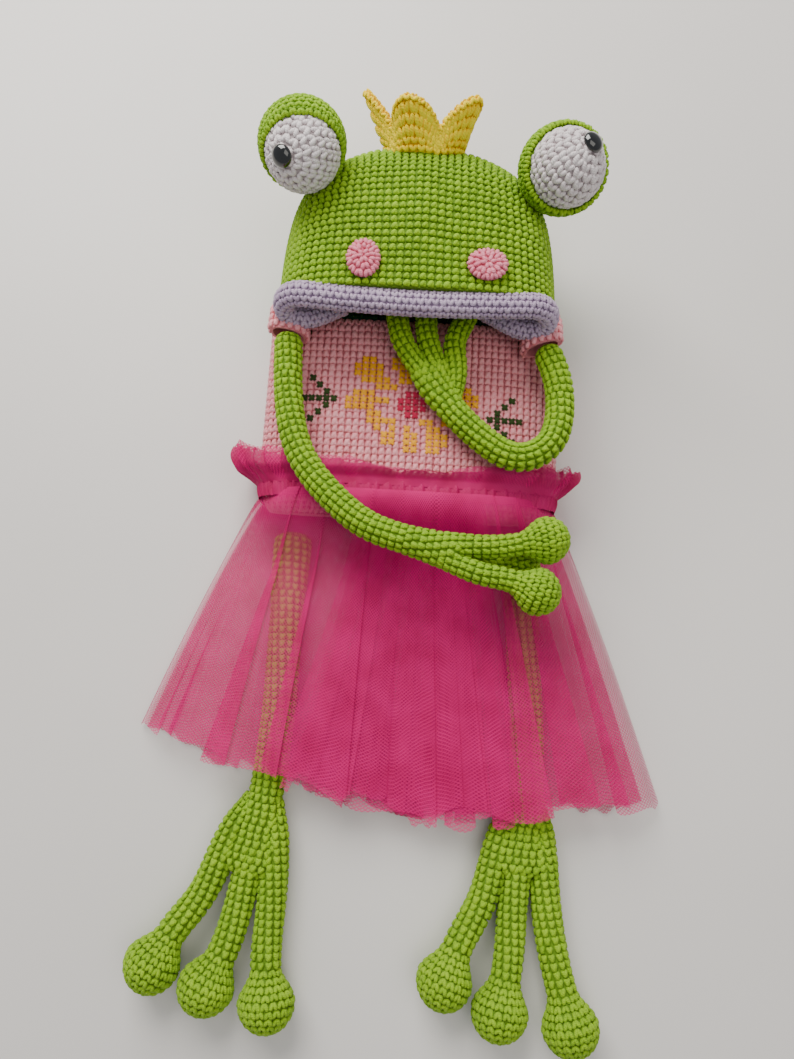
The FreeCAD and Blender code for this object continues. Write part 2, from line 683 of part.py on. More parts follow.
def eye(side, x, rise, opening, look):
    """Lid cup, hollow eyeball and a safety eye fixed inside by its washer."""
    x = f"{x} * {HOOD_WIDTH} / 158"
    y = f"pouch_top + {rise - 46}"
    way = Vector(*opening).normalize()
    out = (f"{x} + {way.x:.4f} * ball_out", f"{y} + {way.y:.4f} * ball_out",
           f"{EYE_LEVEL} + {way.z:.4f} * ball_out")
    ball, wall = size("eyeball_diameter / 2"), size("eyeball_wall")
    cup, cup_wall = size("cup_diameter / 2"), size("cup_wall")
    stem, stem_length = size("stem_diameter / 2"), size("stem_length")
    pupil, dome = size("pupil_diameter / 2"), size("pupil_rise")
    gap = size("seam_gap")
    revolved(f"eye_cup_{side}", shell_outline(cup, cup - cup_wall, size("cup_edge"), 0),
             x, y, EYE_LEVEL, opening)
    revolved(f"eyeball_{side}", shell_outline(ball, ball - wall, 0, stem + gap),
             *out, look)
    seat = ball + gap
    revolved(f"pupil_{side}", [
        Part.LineSegment(Vector(0, seat - stem_length, 0), Vector(stem, seat - stem_length, 0)),
        Part.LineSegment(Vector(stem, seat - stem_length, 0), Vector(stem, seat, 0)),
        Part.LineSegment(Vector(stem, seat, 0), Vector(pupil, seat, 0)),
        cap(pupil, dome, seat),
        Part.LineSegment(Vector(0, seat + dome, 0), Vector(0, seat - stem_length, 0)),
    ], *out, look)
    washer, thick = size("washer_diameter / 2"), size("washer_thickness")
    level = math.sqrt((ball - wall) ** 2 - washer ** 2) - gap - thick
    hole = stem + gap / 2
    corners = [(hole, level), (washer, level), (washer, level + thick), (hole, level + thick)]
    ends = [Vector(r, z, 0) for r, z in corners]
    revolved(f"pupil_washer_{side}",
             [Part.LineSegment(a, b) for a, b in zip(ends, ends[1:] + ends[:1])],
             *out, look)


def cheek(label, x):
    """Low round dome sewn to the front of the head, just above the lip."""
    r, rise = size("cheek_diameter / 2"), size("cheek_rise")
    revolved(label, [
        Part.LineSegment(Vector(0, 0, 0), Vector(r, 0, 0)),
        cap(r, rise),
        Part.LineSegment(Vector(0, rise, 0), Vector(0, 0, 0)),
    ], x, f"{HOOD_RIM} + cheek_diameter / 2 + 1", f"{HOOD_HEIGHT} + seam_gap", (0, 0, 1))


def crown():
    """Flared ring of five petals: a cone wall with five notches cut in its rim."""
    body = new_body("crown")
    base, flare = size("crown_base / 2"), size("crown_flare / 2")
    tall, wall = size("crown_height"), size("crown_wall")
    ends = [Vector(base - wall, 0, 0), Vector(base, 0, 0), Vector(flare, tall, 0),
            Vector(flare - wall, tall, 0)]
    sketch = sketch_on(body, "XZ_Plane")
    sketch.addGeometry([Part.LineSegment(a, b) for a, b in zip(ends, ends[1:] + ends[:1])],
                       False)
    doc.recompute()
    cone = body.newObject("PartDesign::Revolution", "cone")
    cone.Profile = sketch
    cone.ReferenceAxis = (sketch, ["V_Axis"])
    cone.Angle = 360
    settle(body, cone)
    notch = sketch_on(body, "XZ_Plane")
    half, deep = flare * math.sin(math.radians(36)) * 0.96, tall - size("petal_notch")
    tip = [Vector(0, deep, 0), Vector(half, tall + 1, 0), Vector(-half, tall + 1, 0)]
    notch.addGeometry([Part.LineSegment(a, b) for a, b in zip(tip, tip[1:] + tip[:1])], False)
    doc.recompute()
    cut = body.newObject("PartDesign::Pocket", "notch")
    cut.Profile = notch
    cut.Type = "ThroughAll"
    before = cone.Shape.Volume
    settle(body, cut)
    if cut.Shape.Volume > before - 1:
        raise ValueError("the crown's notch cut nothing")
    petals = body.newObject("PartDesign::PolarPattern", "petals")
    petals.Originals = [cut]
    petals.Axis = (origin_part(body, "Z_Axis"), [""])
    petals.Angle = 360
    petals.Occurrences = 5
    body.Tip = petals
    turn = Rotation(Vector(0, 0, 1), Vector(0, 0.86, 0.51))
    place(body, "0", "pouch_top + hood_length * 0.948", f"{HOOD_HEIGHT} * 0.57", turn)
    return finish_body(body, "crown", petals)


# --- arms and legs -------------------------------------------------------------

def ball(body, centre, diameter):
    """A sphere in the body's own XY plane, for a round end."""
    sphere = body.newObject("PartDesign::AdditiveSphere", "ball")
    sphere.AttachmentSupport = (origin_part(body, "XY_Plane"), [""])
    sphere.MapMode = "FlatFace"
    sphere.AttachmentOffset = Placement(Vector(*centre, 0), Rotation())
    sphere.Radius = size(f"{diameter} / 2")
    bind(sphere, "Radius", f"{diameter} / 2")
    return settle(body, sphere)


def segment(label, base, points, diameter, first=False):
    """One length of a limb from joint to joint.  Its far end is a ball centred on the
    next joint.  Its near end is flat and stands clear of the ball before it, except on
    the first length, which has a ball at both ends."""
    body = new_body(label)
    start, toward = Vector(*points[0], 0), Vector(*points[1], 0)
    away = (toward - start).normalize()
    clear = 0 if first else size(f"{diameter} / 2 + gap")
    begin = start + away * clear
    path = [(begin.x, begin.y)] + list(points[1:])
    tip = swept(body, rounded_path(path), diameter)
    tip = ball(body, points[-1], diameter)
    if first:
        tip = ball(body, points[0], diameter)
    place(body, *base)
    return finish_body(body, label, tip)


def pad_of_limb(label, base, centre, heading, length, width, thickness):
    """Palm or foot: a flattened ellipsoid that the digits are sewn to."""
    pad = doc.addObject("Part::Ellipsoid", label + "_form")
    for prop, text in (("Radius1", thickness), ("Radius2", length), ("Radius3", width)):
        setattr(pad, prop, size(f"{text} / 2"))
        bind(pad, prop, f"{text} / 2")
    x, y, z = base
    turn = Rotation(Vector(0, 0, 1), heading)
    place(pad, f"{x} + {centre[0]}", f"{y} + {centre[1]}", z, turn)
    doc.recompute()
    return register(pad, label)


def digit(label, root, tip, stem, bulb):
    """Finger or toe: a straight stem that ends in a ball, turned about its own axis."""
    start, end = Vector(*[size(t) for t in root]), Vector(*[size(t) for t in tip])
    reach = (end - start).Length
    r, big = size(f"{stem} / 2"), size(f"{bulb} / 2")
    meet = reach - math.sqrt(big ** 2 - r ** 2)
    edges = [
        Part.LineSegment(Vector(0, 0, 0), Vector(r, 0, 0)),
        Part.LineSegment(Vector(r, 0, 0), Vector(r, meet, 0)),
        Part.Arc(Vector(r, meet, 0), Vector(big, reach, 0), Vector(0, reach + big, 0)),
        Part.LineSegment(Vector(0, reach + big, 0), Vector(0, 0, 0)),
    ]
    revolved(label, edges, *root, tuple(end - start))


def from_base(base, offset, level):
    x, y, _ = base
    return (f"{x} + {offset[0]}", f"{y} + {offset[1]}", level)


def beyond(base, heading, run):
    """A base moved along a heading in degrees by a run, so that a thicker limb's end
    pushes the hand or foot out."""
    x, y, z = base
    angle = math.radians(heading)
    return (f"{x} + {math.cos(angle):.4f} * ( {run} )",
            f"{y} + {math.sin(angle):.4f} * ( {run} )", z)


ARMS = {
    # every point is measured from the shoulder, in the arm's own flat plane
    "left": {
        "upper": [(0, 0), (2, -24), (6, -50)],
        "fore": [(6, -50), (15, -73), (33, -94), (54, -109), (73, -115)],
        "palm": (95, -120.5), "heading": -10,
        "fingers": [((110, -117), (148, -112)), ((111, -131), (143.5, -139.5)),
                    ((104, -123), (136, -123.5))],
        "low": 2,
    },
    "right": {
        "upper": [(0, 0), (7, -18), (9, -38), (3, -58)],
        "fore": [(3, -58), (-14, -66), (-33, -57), (-51, -40)],
        "palm": (-64, -20.5), "heading": 124,
        "fingers": [((-79.5, -3), (-92, 34)), ((-65.2, -3), (-66.8, 41)),
                    ((-50.8, -4), (-40.5, 34))],
        "low": None,
    },
}

LEGS = {
    # every point is measured from the hip, in the plane of the table
    "left": {
        "thigh": [(0, 0), (-0.5, -35), (-0.5, -70)],
        "shin": [(-0.5, -70), (-0.5, -100), (-2, -128), (-4, -148)],
        "foot": (-10, -182), "heading": 259,
        "toes": [((-31, -205), (-56, -236)), ((-14.5, -210), (-26.5, -245.5)),
                 ((3.5, -210), (5.5, -252))],
    },
    "right": {
        "thigh": [(0, 0), (4, -30), (6, -66)],
        "shin": [(6, -66), (8, -95), (9, -122), (9, -142)],
        "foot": (6, -176), "heading": 267,
        "toes": [((-15, -200), (-33, -237)), ((2.5, -203), (-3.5, -250.5)),
                 ((21, -199), (33.5, -256))],
    },
}


def arm(side, sign, shape):
    base = (f"{sign} * {SHOULDER_X}", SHOULDER_Y, ARM_LEVEL)
    segment(f"upper_arm_{side}", base, shape["upper"], "arm_diameter", first=True)
    segment(f"forearm_{side}", base, shape["fore"], "arm_diameter")
    hand = beyond(base, shape["heading"], "arm_diameter / 2 - 8.1")
    pad_of_limb(f"palm_{side}", hand, shape["palm"], shape["heading"],
                "palm_length", "palm_width", "palm_thickness")
    for n, (root, tip) in enumerate(shape["fingers"]):
        low = n == shape["low"]
        start, end = (LOW_ROOT, LOW_FINGER) if low else (HAND_LEVEL, HAND_LEVEL)
        digit(f"finger_{side}_{n + 1}", from_base(hand, root, start),
              from_base(hand, tip, end), "finger_diameter", "finger_ball")


def leg(side, sign, shape):
    base = (f"{sign} * pouch_width * 0.38", f"0 - {HIP_Y}", LEG_LEVEL)
    segment(f"thigh_{side}", base, shape["thigh"], "leg_diameter", first=True)
    segment(f"shin_{side}", base, shape["shin"], "leg_diameter")
    end = beyond(base, shape["heading"], "leg_diameter / 2 - 9.6")
    pad_of_limb(f"foot_{side}", end, shape["foot"], shape["heading"],
                "foot_length", "foot_width", "foot_thickness")
    for n, (root, tip) in enumerate(shape["toes"]):
        digit(f"toe_{side}_{n + 1}", from_base(end, root, LEG_LEVEL),
              from_base(end, tip, TOE_LEVEL), "toe_diameter", "toe_ball")


# --- build, test and write -------------------------------------------------------

pouch_shell()
skirt_bands()
skirt_ruffle()
skirt_tulle()
sleeve("sleeve_left", -1)
sleeve("sleeve_right", 1)
embroidery()
back_panel()
lower_lip()
zip_halves()
zip_slider()
zip_puller()
hood_front()
upper_lip()
for name, details in EYES.items():
    eye(name, *details)
cheek("cheek_left", "0 - 30")
cheek("cheek_right", "36")
crown()
arm("left", -1, ARMS["left"])
arm("right", 1, ARMS["right"])
leg("left", -1, LEGS["left"])
leg("right", 1, LEGS["right"])
doc.recompute()

for thing in doc.Objects:
    if {"Invalid", "Error"} & set(thing.State):
        raise ValueError(f"{thing.Name} ({thing.Label}) failed: {thing.State}")
for piece in pieces:
    if piece.Shape.isNull() or not piece.Shape.isValid() or not piece.Shape.Solids:
        raise ValueError(f"{piece.Label} has no valid solid")

os.makedirs("parts", exist_ok=True)
for piece in pieces:
    piece.Shape.exportStep(f"parts/{piece.Label}.step")
print(len(pieces), "sub-parts written")
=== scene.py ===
import json
import math

import bpy
import numpy as np
from mathutils import Matrix, Vector


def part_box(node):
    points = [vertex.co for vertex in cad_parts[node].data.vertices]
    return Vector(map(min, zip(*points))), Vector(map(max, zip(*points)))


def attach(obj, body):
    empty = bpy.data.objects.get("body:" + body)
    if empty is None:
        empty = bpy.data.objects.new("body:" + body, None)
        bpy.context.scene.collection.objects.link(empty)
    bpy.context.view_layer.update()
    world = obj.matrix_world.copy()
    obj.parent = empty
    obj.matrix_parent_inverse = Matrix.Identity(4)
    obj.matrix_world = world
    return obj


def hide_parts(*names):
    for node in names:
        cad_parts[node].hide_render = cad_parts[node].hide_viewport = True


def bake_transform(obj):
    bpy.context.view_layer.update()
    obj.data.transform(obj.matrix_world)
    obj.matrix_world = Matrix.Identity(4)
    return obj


# A crocheted frog princess: a zip pouch for a body and a hollow hood for a head, worked
# in single crochet, with stuffed arms and legs and a gathered tulle skirt.
# Lengths in this script are millimetres until a mesh is written, which is in metres.

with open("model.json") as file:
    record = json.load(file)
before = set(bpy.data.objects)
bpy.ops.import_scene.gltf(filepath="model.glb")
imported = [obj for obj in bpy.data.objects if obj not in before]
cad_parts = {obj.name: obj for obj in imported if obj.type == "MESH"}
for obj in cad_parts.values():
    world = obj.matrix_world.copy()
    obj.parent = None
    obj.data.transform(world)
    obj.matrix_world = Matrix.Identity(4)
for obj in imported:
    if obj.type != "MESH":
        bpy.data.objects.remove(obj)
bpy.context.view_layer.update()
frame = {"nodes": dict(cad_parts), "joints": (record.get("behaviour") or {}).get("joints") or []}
MM = 0.001

WIDE = 4.27      # one stitch along its row
TALL = 4.1       # one row
YARN = 1.15      # half thickness of one leg of a stitch


# --- colours and materials ----------------------------------------------------------

def linear(code):
    """An sRGB hex colour as the linear colour that shaders use."""
    c = np.array([int(code[n:n + 2], 16) for n in (0, 2, 4)]) / 255
    low, high = c / 12.92, ((c + 0.055) / 1.055) ** 2.4
    return (*np.where(c <= 0.04045, low, high), 1.0)


def add(tree, kind, inputs=None, **settings):
    """Add a node; an input is a plain value or another node's output to link from."""
    node = tree.nodes.new("ShaderNode" + kind)
    for name, value in settings.items():
        setattr(node, name, value)
    for name, value in (inputs or {}).items():
        if isinstance(value, bpy.types.NodeSocket):
            tree.links.new(value, node.inputs[name])
        else:
            node.inputs[name].default_value = value
    return node


def new_material(name):
    """An empty node material and its tree."""
    material = bpy.data.materials.new(name)
    material.use_nodes = True
    material.node_tree.nodes.clear()
    return material, material.node_tree


def surface_shader(tree, inputs):
    """A principled shader on the material's surface."""
    shader = add(tree, "BsdfPrincipled", inputs)
    out = add(tree, "OutputMaterial")
    tree.links.new(shader.outputs[0], out.inputs["Surface"])


def ramp(tree, factor, *stops):
    """A colour ramp; each stop is a place from 0 to 1 and a hex colour."""
    node = add(tree, "ValToRGB", {"Fac": factor})
    points = node.color_ramp.elements
    while len(points) < len(stops):
        points.new(0.5)
    for point, (place, code) in zip(points, stops):
        point.position = place
        point.color = linear(code)
    return node.outputs["Color"]


YARN_PLIES = 3
NET_PERIOD = 1.9     # threads of the drawn net, in mm across the cloth
GATHER_FADE = 16.0   # how far below a seam its gathers crowd the net


def cotton(name, deep, middle, light, fuzz):
    """Mercerised cotton yarn, spun from a few plies.  Each leg of a stitch is painted lighter on
    its crown and darker between its neighbours: painted light and painted shade; the plies show as
    slanting ridges."""
    material, tree = new_material(name)
    painted_light = add(tree, "Attribute", attribute_name="painted_light").outputs["Fac"]
    tint = add(tree, "Attribute", attribute_name="tint").outputs["Fac"]
    place = add(tree, "TexCoord").outputs["Object"]
    # felted fibres, about half a millimetre long
    fibres = add(tree, "TexNoise", {"Vector": place, "Scale": 1900.0, "Detail": 3.0,
                                    "Roughness": 0.6}).outputs["Fac"]
    # dye takes unevenly over a few centimetres
    dye = add(tree, "TexNoise", {"Vector": place, "Scale": 45.0, "Detail": 2.0}).outputs["Fac"]
    felt = add(tree, "Math", {0: fibres, 1: 0.22}, operation="MULTIPLY").outputs[0]
    # the ramp's place: the per-point painted light, lighter on the crowns and darker as painted
    # shade in the grooves, plus each stitch's tint and the dye's own tone
    painted_shade_and_tone = felt
    for value, share in ((painted_light, fibres), (tint, 0.30), (dye, 0.25)):
        painted_shade_and_tone = add(tree, "Math", {0: value, 1: share, 2: painted_shade_and_tone},
                    operation="MULTIPLY_ADD").outputs[0]
    # deep is the painted shade colour, light the painted light colour, middle the yarn's own colour
    colour = ramp(tree, painted_shade_and_tone, (0.12, deep), (0.62, middle), (1.12, light))
    # the plies: ridges that run round the leg of the stitch as they run along it
    uv = add(tree, "UVMap", uv_map="yarn").outputs["UV"]
    parts = add(tree, "SeparateXYZ", {"Vector": uv})
    turn = add(tree, "Math", {0: parts.outputs["Y"], 1: 1.6, 2: parts.outputs["X"]},
               operation="MULTIPLY_ADD").outputs[0]
    angle = add(tree, "Math", {0: turn, 1: YARN_PLIES * math.tau},
                operation="MULTIPLY").outputs[0]
    ridge = add(tree, "Math", {0: angle}, operation="SINE").outputs[0]
    height = add(tree, "Math", {0: ridge, 1: 0.35, 2: fibres},
                 operation="MULTIPLY_ADD").outputs[0]
    bump = add(tree, "Bump", {"Height": height, "Strength": 0.55, "Distance": 0.00035})
    rough = add(tree, "MapRange", {"Value": fibres, "To Min": 0.72, "To Max": 0.92})
    surface_shader(tree, {
        "Base Color": colour, "Roughness": rough.outputs[0], "Normal": bump.outputs[0],
        "Sheen Weight": fuzz, "Sheen Roughness": 0.45, "Specular IOR Level": 0.3,
        "IOR": 1.5})
    return material


def tulle(name, code, bare, thread):
    """Nylon tulle: a fine net.  Threads cross on both slants, drawn 1.3 mm apart where
    the real net is 1 mm, so that they show; the rest of each cell is open.  Where the
    cloth starts, at a seam, its gathers crowd together."""
    material, tree = new_material(name)
    uv = add(tree, "UVMap", uv_map="cloth").outputs["UV"]
    parts = add(tree, "SeparateXYZ", {"Vector": uv})
    x, y = parts.outputs["X"], parts.outputs["Y"]
    lines = []
    for slant in (1.0, -1.0):
        run = add(tree, "Math", {0: x, 1: slant, 2: y}, operation="MULTIPLY_ADD").outputs[0]
        wave = add(tree, "Math", {0: run, 1: math.tau / NET_PERIOD},
                   operation="MULTIPLY").outputs[0]
        lines.append(add(tree, "Math", {0: wave}, operation="SINE").outputs[0])
    most = add(tree, "Math", {0: lines[0], 1: lines[1]}, operation="MAXIMUM").outputs[0]
    edge = add(tree, "MapRange", {"Value": most, "From Min": 0.35, "From Max": 1.0,
                                  "To Min": bare, "To Max": thread}).outputs[0]
    crowd = add(tree, "MapRange", {"Value": y, "From Min": 0.0, "From Max": GATHER_FADE,
                                   "To Min": 0.42, "To Max": 0.0}).outputs[0]
    edge = add(tree, "Math", {0: edge, 1: crowd}, operation="ADD").outputs[0]
    place = add(tree, "TexCoord").outputs["Object"]
    haze = add(tree, "TexNoise", {"Vector": place, "Scale": 60.0,
                                  "Detail": 2.0}).outputs["Fac"]
    colour = ramp(tree, haze, (0.3, code[0]), (0.7, code[1]))
    surface_shader(tree, {"Base Color": colour, "Roughness": 0.6,
                          "Specular IOR Level": 0.2, "Alpha": edge})
    return material


def plain(name, code, roughness, grain=0.1, coat=0.0):
    """A smooth moulded or lacquered finish with a fine grain in colour and bump."""
    material, tree = new_material(name)
    place = add(tree, "TexCoord").outputs["Object"]
    grains = add(tree, "TexNoise", {"Vector": place, "Scale": 900.0,
                                    "Detail": 4.0}).outputs["Fac"]
    colour = ramp(tree, grains, (0.3, code[0]), (0.7, code[1]))
    rough = add(tree, "MapRange", {"Value": grains, "To Min": roughness * 0.8,
                                   "To Max": roughness * 1.25}).outputs[0]
    bump = add(tree, "Bump", {"Height": grains, "Strength": grain, "Distance": 0.0002})
    surface_shader(tree, {"Base Color": colour, "Roughness": rough,
                          "Normal": bump.outputs[0], "Coat Weight": coat,
                          "Coat Roughness": 0.06, "IOR": 1.5})
    return material


def woven_tape(name, deep, light):
    """Zip tape: twill of polyester threads, ribs about 0.7 mm apart on the slant."""
    material, tree = new_material(name)
    place = add(tree, "TexCoord").outputs["Object"]
    parts = add(tree, "SeparateXYZ", {"Vector": place})
    run = add(tree, "Math", {0: parts.outputs["X"], 1: parts.outputs["Y"]}).outputs[0]
    wave = add(tree, "Math", {0: run, 1: math.tau / 0.001}, operation="MULTIPLY").outputs[0]
    rib = add(tree, "Math", {0: wave}, operation="SINE").outputs[0]
    share = add(tree, "MapRange", {"Value": rib, "From Min": -1.0}).outputs[0]
    # the ribs are painted lighter on their crests and darker between them: painted light and
    # painted shade that go with the bump
    colour = ramp(tree, share, (0.2, deep), (0.8, light))
    bump = add(tree, "Bump", {"Height": share, "Strength": 0.5, "Distance": 0.0002})
    surface_shader(tree, {"Base Color": colour, "Roughness": 0.7,
                          "Normal": bump.outputs[0], "Sheen Weight": 0.1})
    return material


# Each yarn: its painted shade colour, its own colour and its painted light colour.
GREEN = cotton("green_cotton_yarn", "2E4602", "74A008", "9CC41A", fuzz=0.08)
PINK = cotton("pink_cotton_yarn", "9C4C54", "E88E98", "F8B0B6", fuzz=0.12)
CHEEK = cotton("rose_cotton_yarn", "A03C52", "E07088", "F098A8", fuzz=0.12)
WHITE = cotton("white_cotton_yarn", "8C7E80", "D2C6C8", "EEE6E6", fuzz=0.2)
LAVENDER = cotton("lavender_cotton_yarn", "5E4A62", "A68EAC", "C6B2C8", fuzz=0.12)
YELLOW = cotton("yellow_cotton_yarn", "B48600", "FFD200", "FFEA14", fuzz=0.02)
GOLD = cotton("gold_embroidery_cotton", "9C5800", "EC9C0C", "FCBC28", fuzz=0.08)
CRIMSON = cotton("crimson_embroidery_cotton", "5C0418", "B4103C", "D43058", fuzz=0.08)
OLIVE = cotton("olive_embroidery_cotton", "0C1606", "223410", "384C1C", fuzz=0.05)
TULLE = tulle("magenta_nylon_tulle", ("C80464", "DC1076"), 0.23, 0.78)
# A darker copy of the same net for the gathered band and the inner ruffle: the crowded layers of
# net, and partly painted shade under and between the gathers.
GATHERED_AND_SHADED = tulle("magenta_tulle_gathered_and_shaded", ("AC0A52", "C41668"), 0.55, 0.95)
TAPE = woven_tape("green_polyester_tape", "06301A", "14603A")
NYLON = plain("green_moulded_nylon", ("0C4426", "145C34"), 0.4)
METAL = plain("green_lacquered_zinc", ("0E4A2A", "1A6038"), 0.3, coat=0.5)
BLACK = plain("black_polished_acrylic", ("050506", "0A0A0C"), 0.08, grain=0.02, coat=1.0)


# --- shapes: points, surfaces and meshes ------------------------------------------------

def unit(v):
    """Each vector with length one."""
    return v / np.maximum(np.linalg.norm(v, axis=-1, keepdims=True), 1e-9)


def ease(t):
    """Smooth step: 0 below 0, 1 above 1 and level at both ends."""
    t = np.clip(t, 0, 1)
    return t * t * (3 - 2 * t)


def smooth_line(points, count=240):
    """A natural cubic spline through the points, resampled at even steps of length.
    Each span is the cubic whose second derivatives agree with its neighbours'."""
    p = np.asarray(points, float)
    knots = run_along(p)
    h, n = np.diff(knots), len(p)
    system, right = np.eye(n), np.zeros_like(p)
    for i in range(1, n - 1):
        system[i, i - 1:i + 2] = h[i - 1], 2 * (h[i - 1] + h[i]), h[i]
        right[i] = 6 * ((p[i + 1] - p[i]) / h[i] - (p[i] - p[i - 1]) / h[i - 1])
    bend = np.linalg.solve(system, right)
    at = np.linspace(0, knots[-1], 4 * count)
    k = np.clip(np.searchsorted(knots, at, side="right") - 1, 0, n - 2)
    a, b, w = (knots[k + 1] - at)[:, None], (at - knots[k])[:, None], h[k][:, None]
    fine = (bend[k] * a ** 3 + bend[k + 1] * b ** 3) / (6 * w)
    fine += (p[k] / w - bend[k] * w / 6) * a + (p[k + 1] / w - bend[k + 1] * w / 6) * b
    run = run_along(fine)
    even = np.linspace(0, run[-1], count)
    return np.stack([np.interp(even, run, fine[:, n]) for n in range(3)], axis=1)


def run_along(line):
    """The length of a line of points up to each of them."""
    return np.concatenate([[0], np.cumsum(np.linalg.norm(np.diff(line, axis=0), axis=-1))])


def length_of(line):
    return float(run_along(line)[-1])


def tube(line, radii, up=(0, 0, 1)):
    """A surface of elliptical sections carried along a line.  radii gives, for v from 0
    to 1 along it, the half width across and the half height towards up."""
    tangents = unit(np.gradient(line, axis=0))
    sides = unit(np.cross(tangents, np.array(up, float)))
    lifts = np.cross(sides, tangents)

    def surface(u, v):
        u, v = np.broadcast_arrays(u, v)
        at = np.clip(v, 0, 1) * (len(line) - 1)
        pick = [np.stack([np.interp(at, np.arange(len(line)), a[:, n]) for n in range(3)], -1)
                for a in (line, sides, lifts)]
        wide, high = radii(v)
        angle = math.tau * u
        return (pick[0] + (wide * np.cos(angle))[..., None] * pick[1]
                + (high * np.sin(angle))[..., None] * pick[2])
    return surface


def turned(centre, axis, profile):
    """A surface of revolution about an axis through a centre.  profile gives, for v from
    0 to 1, the radius and the height along the axis."""
    a = unit(np.array(axis, float))
    first = unit(np.cross(a, (0.3, 0.9, 0.1)))
    second = np.cross(first, a)

    def surface(u, v):
        u, v = np.broadcast_arrays(u, v)
        r, h = profile(v)
        angle = math.tau * u
        return (np.asarray(centre, float) + (r * np.cos(angle))[..., None] * first
                + (r * np.sin(angle))[..., None] * second + np.asarray(h)[..., None] * a)
    return surface


def squircle(angle, power):
    """A point of a unit superellipse in the direction of an angle: the cosine and sine,
    over the power-th root of the sum of their powers."""
    c, s = np.cos(angle), np.sin(angle)
    size = (np.abs(c) ** power + np.abs(s) ** power) ** (-1 / power)
    return c * size, s * size


def slab(u, y, half, low, high, soft=3.4, back=5.0):
    """Points of rounded slab sections across the y axis.  Each is a superellipse, rounder
    in front, where its power is soft, than at the back."""
    angle = math.tau * u
    across, up = squircle(angle, np.where(np.sin(angle) > 0, soft, back))
    x = half * across
    z = (low + high) / 2 + (high - low) / 2 * up
    return np.stack(np.broadcast_arrays(x, y, z), -1)


def derivatives(surface, u, v, step=1e-3):
    """Unit directions along the row and up the wale, and the outward normal."""
    high, low = np.minimum(v + step, 1), np.maximum(v - step, 0)
    row = surface(u + step, v) - surface(u - step, v)
    wale = surface(u, high) - surface(u, low)
    return unit(row), unit(wale), unit(np.cross(wale, row))


def lay_rows(surface, v0, v1, wide, tall, closed, stagger, span=(0.0, 1.0), fixed=None):
    """Places of stitches on a surface: rows one stitch tall, each shared out evenly
    along its own length, or in the same fixed number of columns all the way."""
    u = np.linspace(*span, 161)
    v = np.linspace(v0, v1, 241)
    net = surface(u[None, :], v[:, None])
    climb = np.linalg.norm(np.diff(net, axis=0), axis=-1)
    risen = np.concatenate([[0], np.cumsum(np.median(climb, axis=1))])
    rows = max(1, round(risen[-1] / tall))
    levels = np.interp((np.arange(rows) + 0.5) / rows * risen[-1], risen, v)
    us, vs, widths = [], [], []
    for n, level in enumerate(levels):
        ring = surface(u, np.full_like(u, level))
        run = run_along(ring)
        count = fixed or max(3, round(run[-1] / wide))
        shift = 0.5 + (stagger * n) % 1.0
        at = (np.arange(count) + shift) / count * run[-1]
        at = at % run[-1] if closed else np.clip(at, 0, run[-1])
        us.append(np.interp(at, run, u))
        vs.append(np.full(count, level))
        widths.append(np.full(count, run[-1] / count))
    return *map(np.concatenate, (us, vs, widths)), risen[-1] / rows


LOBE_RINGS = np.array([(-0.64, 0.80), (0.0, 1.0), (0.64, 0.80)])
LOBE_SIDES = 6


def lobe_pattern():
    """One plump leg of yarn: three six-sided rings between two end points.  Gives its
    points as (along, across, out), its faces, and a yarn UV for each face corner."""
    turn = np.arange(LOBE_SIDES) * math.tau / LOBE_SIDES
    points = [(-1.0, 0.0, 0.0)]
    for along, size in LOBE_RINGS:
        points += [(along, size * math.cos(a), size * math.sin(a)) for a in turn]
    points.append((1.0, 0.0, 0.0))
    last = len(points) - 1
    faces, uvs = [], []
    for n in range(LOBE_SIDES):
        m, left, right = (n + 1) % LOBE_SIDES, n / LOBE_SIDES, (n + 1) / LOBE_SIDES
        faces.append((0, 1 + m, 1 + n))
        uvs += [((left + right) / 2, 0.0), (right, 0.18), (left, 0.18)]
        for ring in range(2):
            a, b = 1 + ring * LOBE_SIDES, 1 + (ring + 1) * LOBE_SIDES
            low, high = 0.18 + 0.32 * ring, 0.5 + 0.32 * ring
            faces.append((a + n, a + m, b + m, b + n))
            uvs += [(left, low), (right, low), (right, high), (left, high)]
        top = 1 + 2 * LOBE_SIDES
        faces.append((top + n, top + m, last))
        uvs += [(left, 0.82), (right, 0.82), ((left + right) / 2, 1.0)]
    return np.array(points), faces, np.array(uvs)


LOBE_POINTS, LOBE_FACES, LOBE_UV = lobe_pattern()


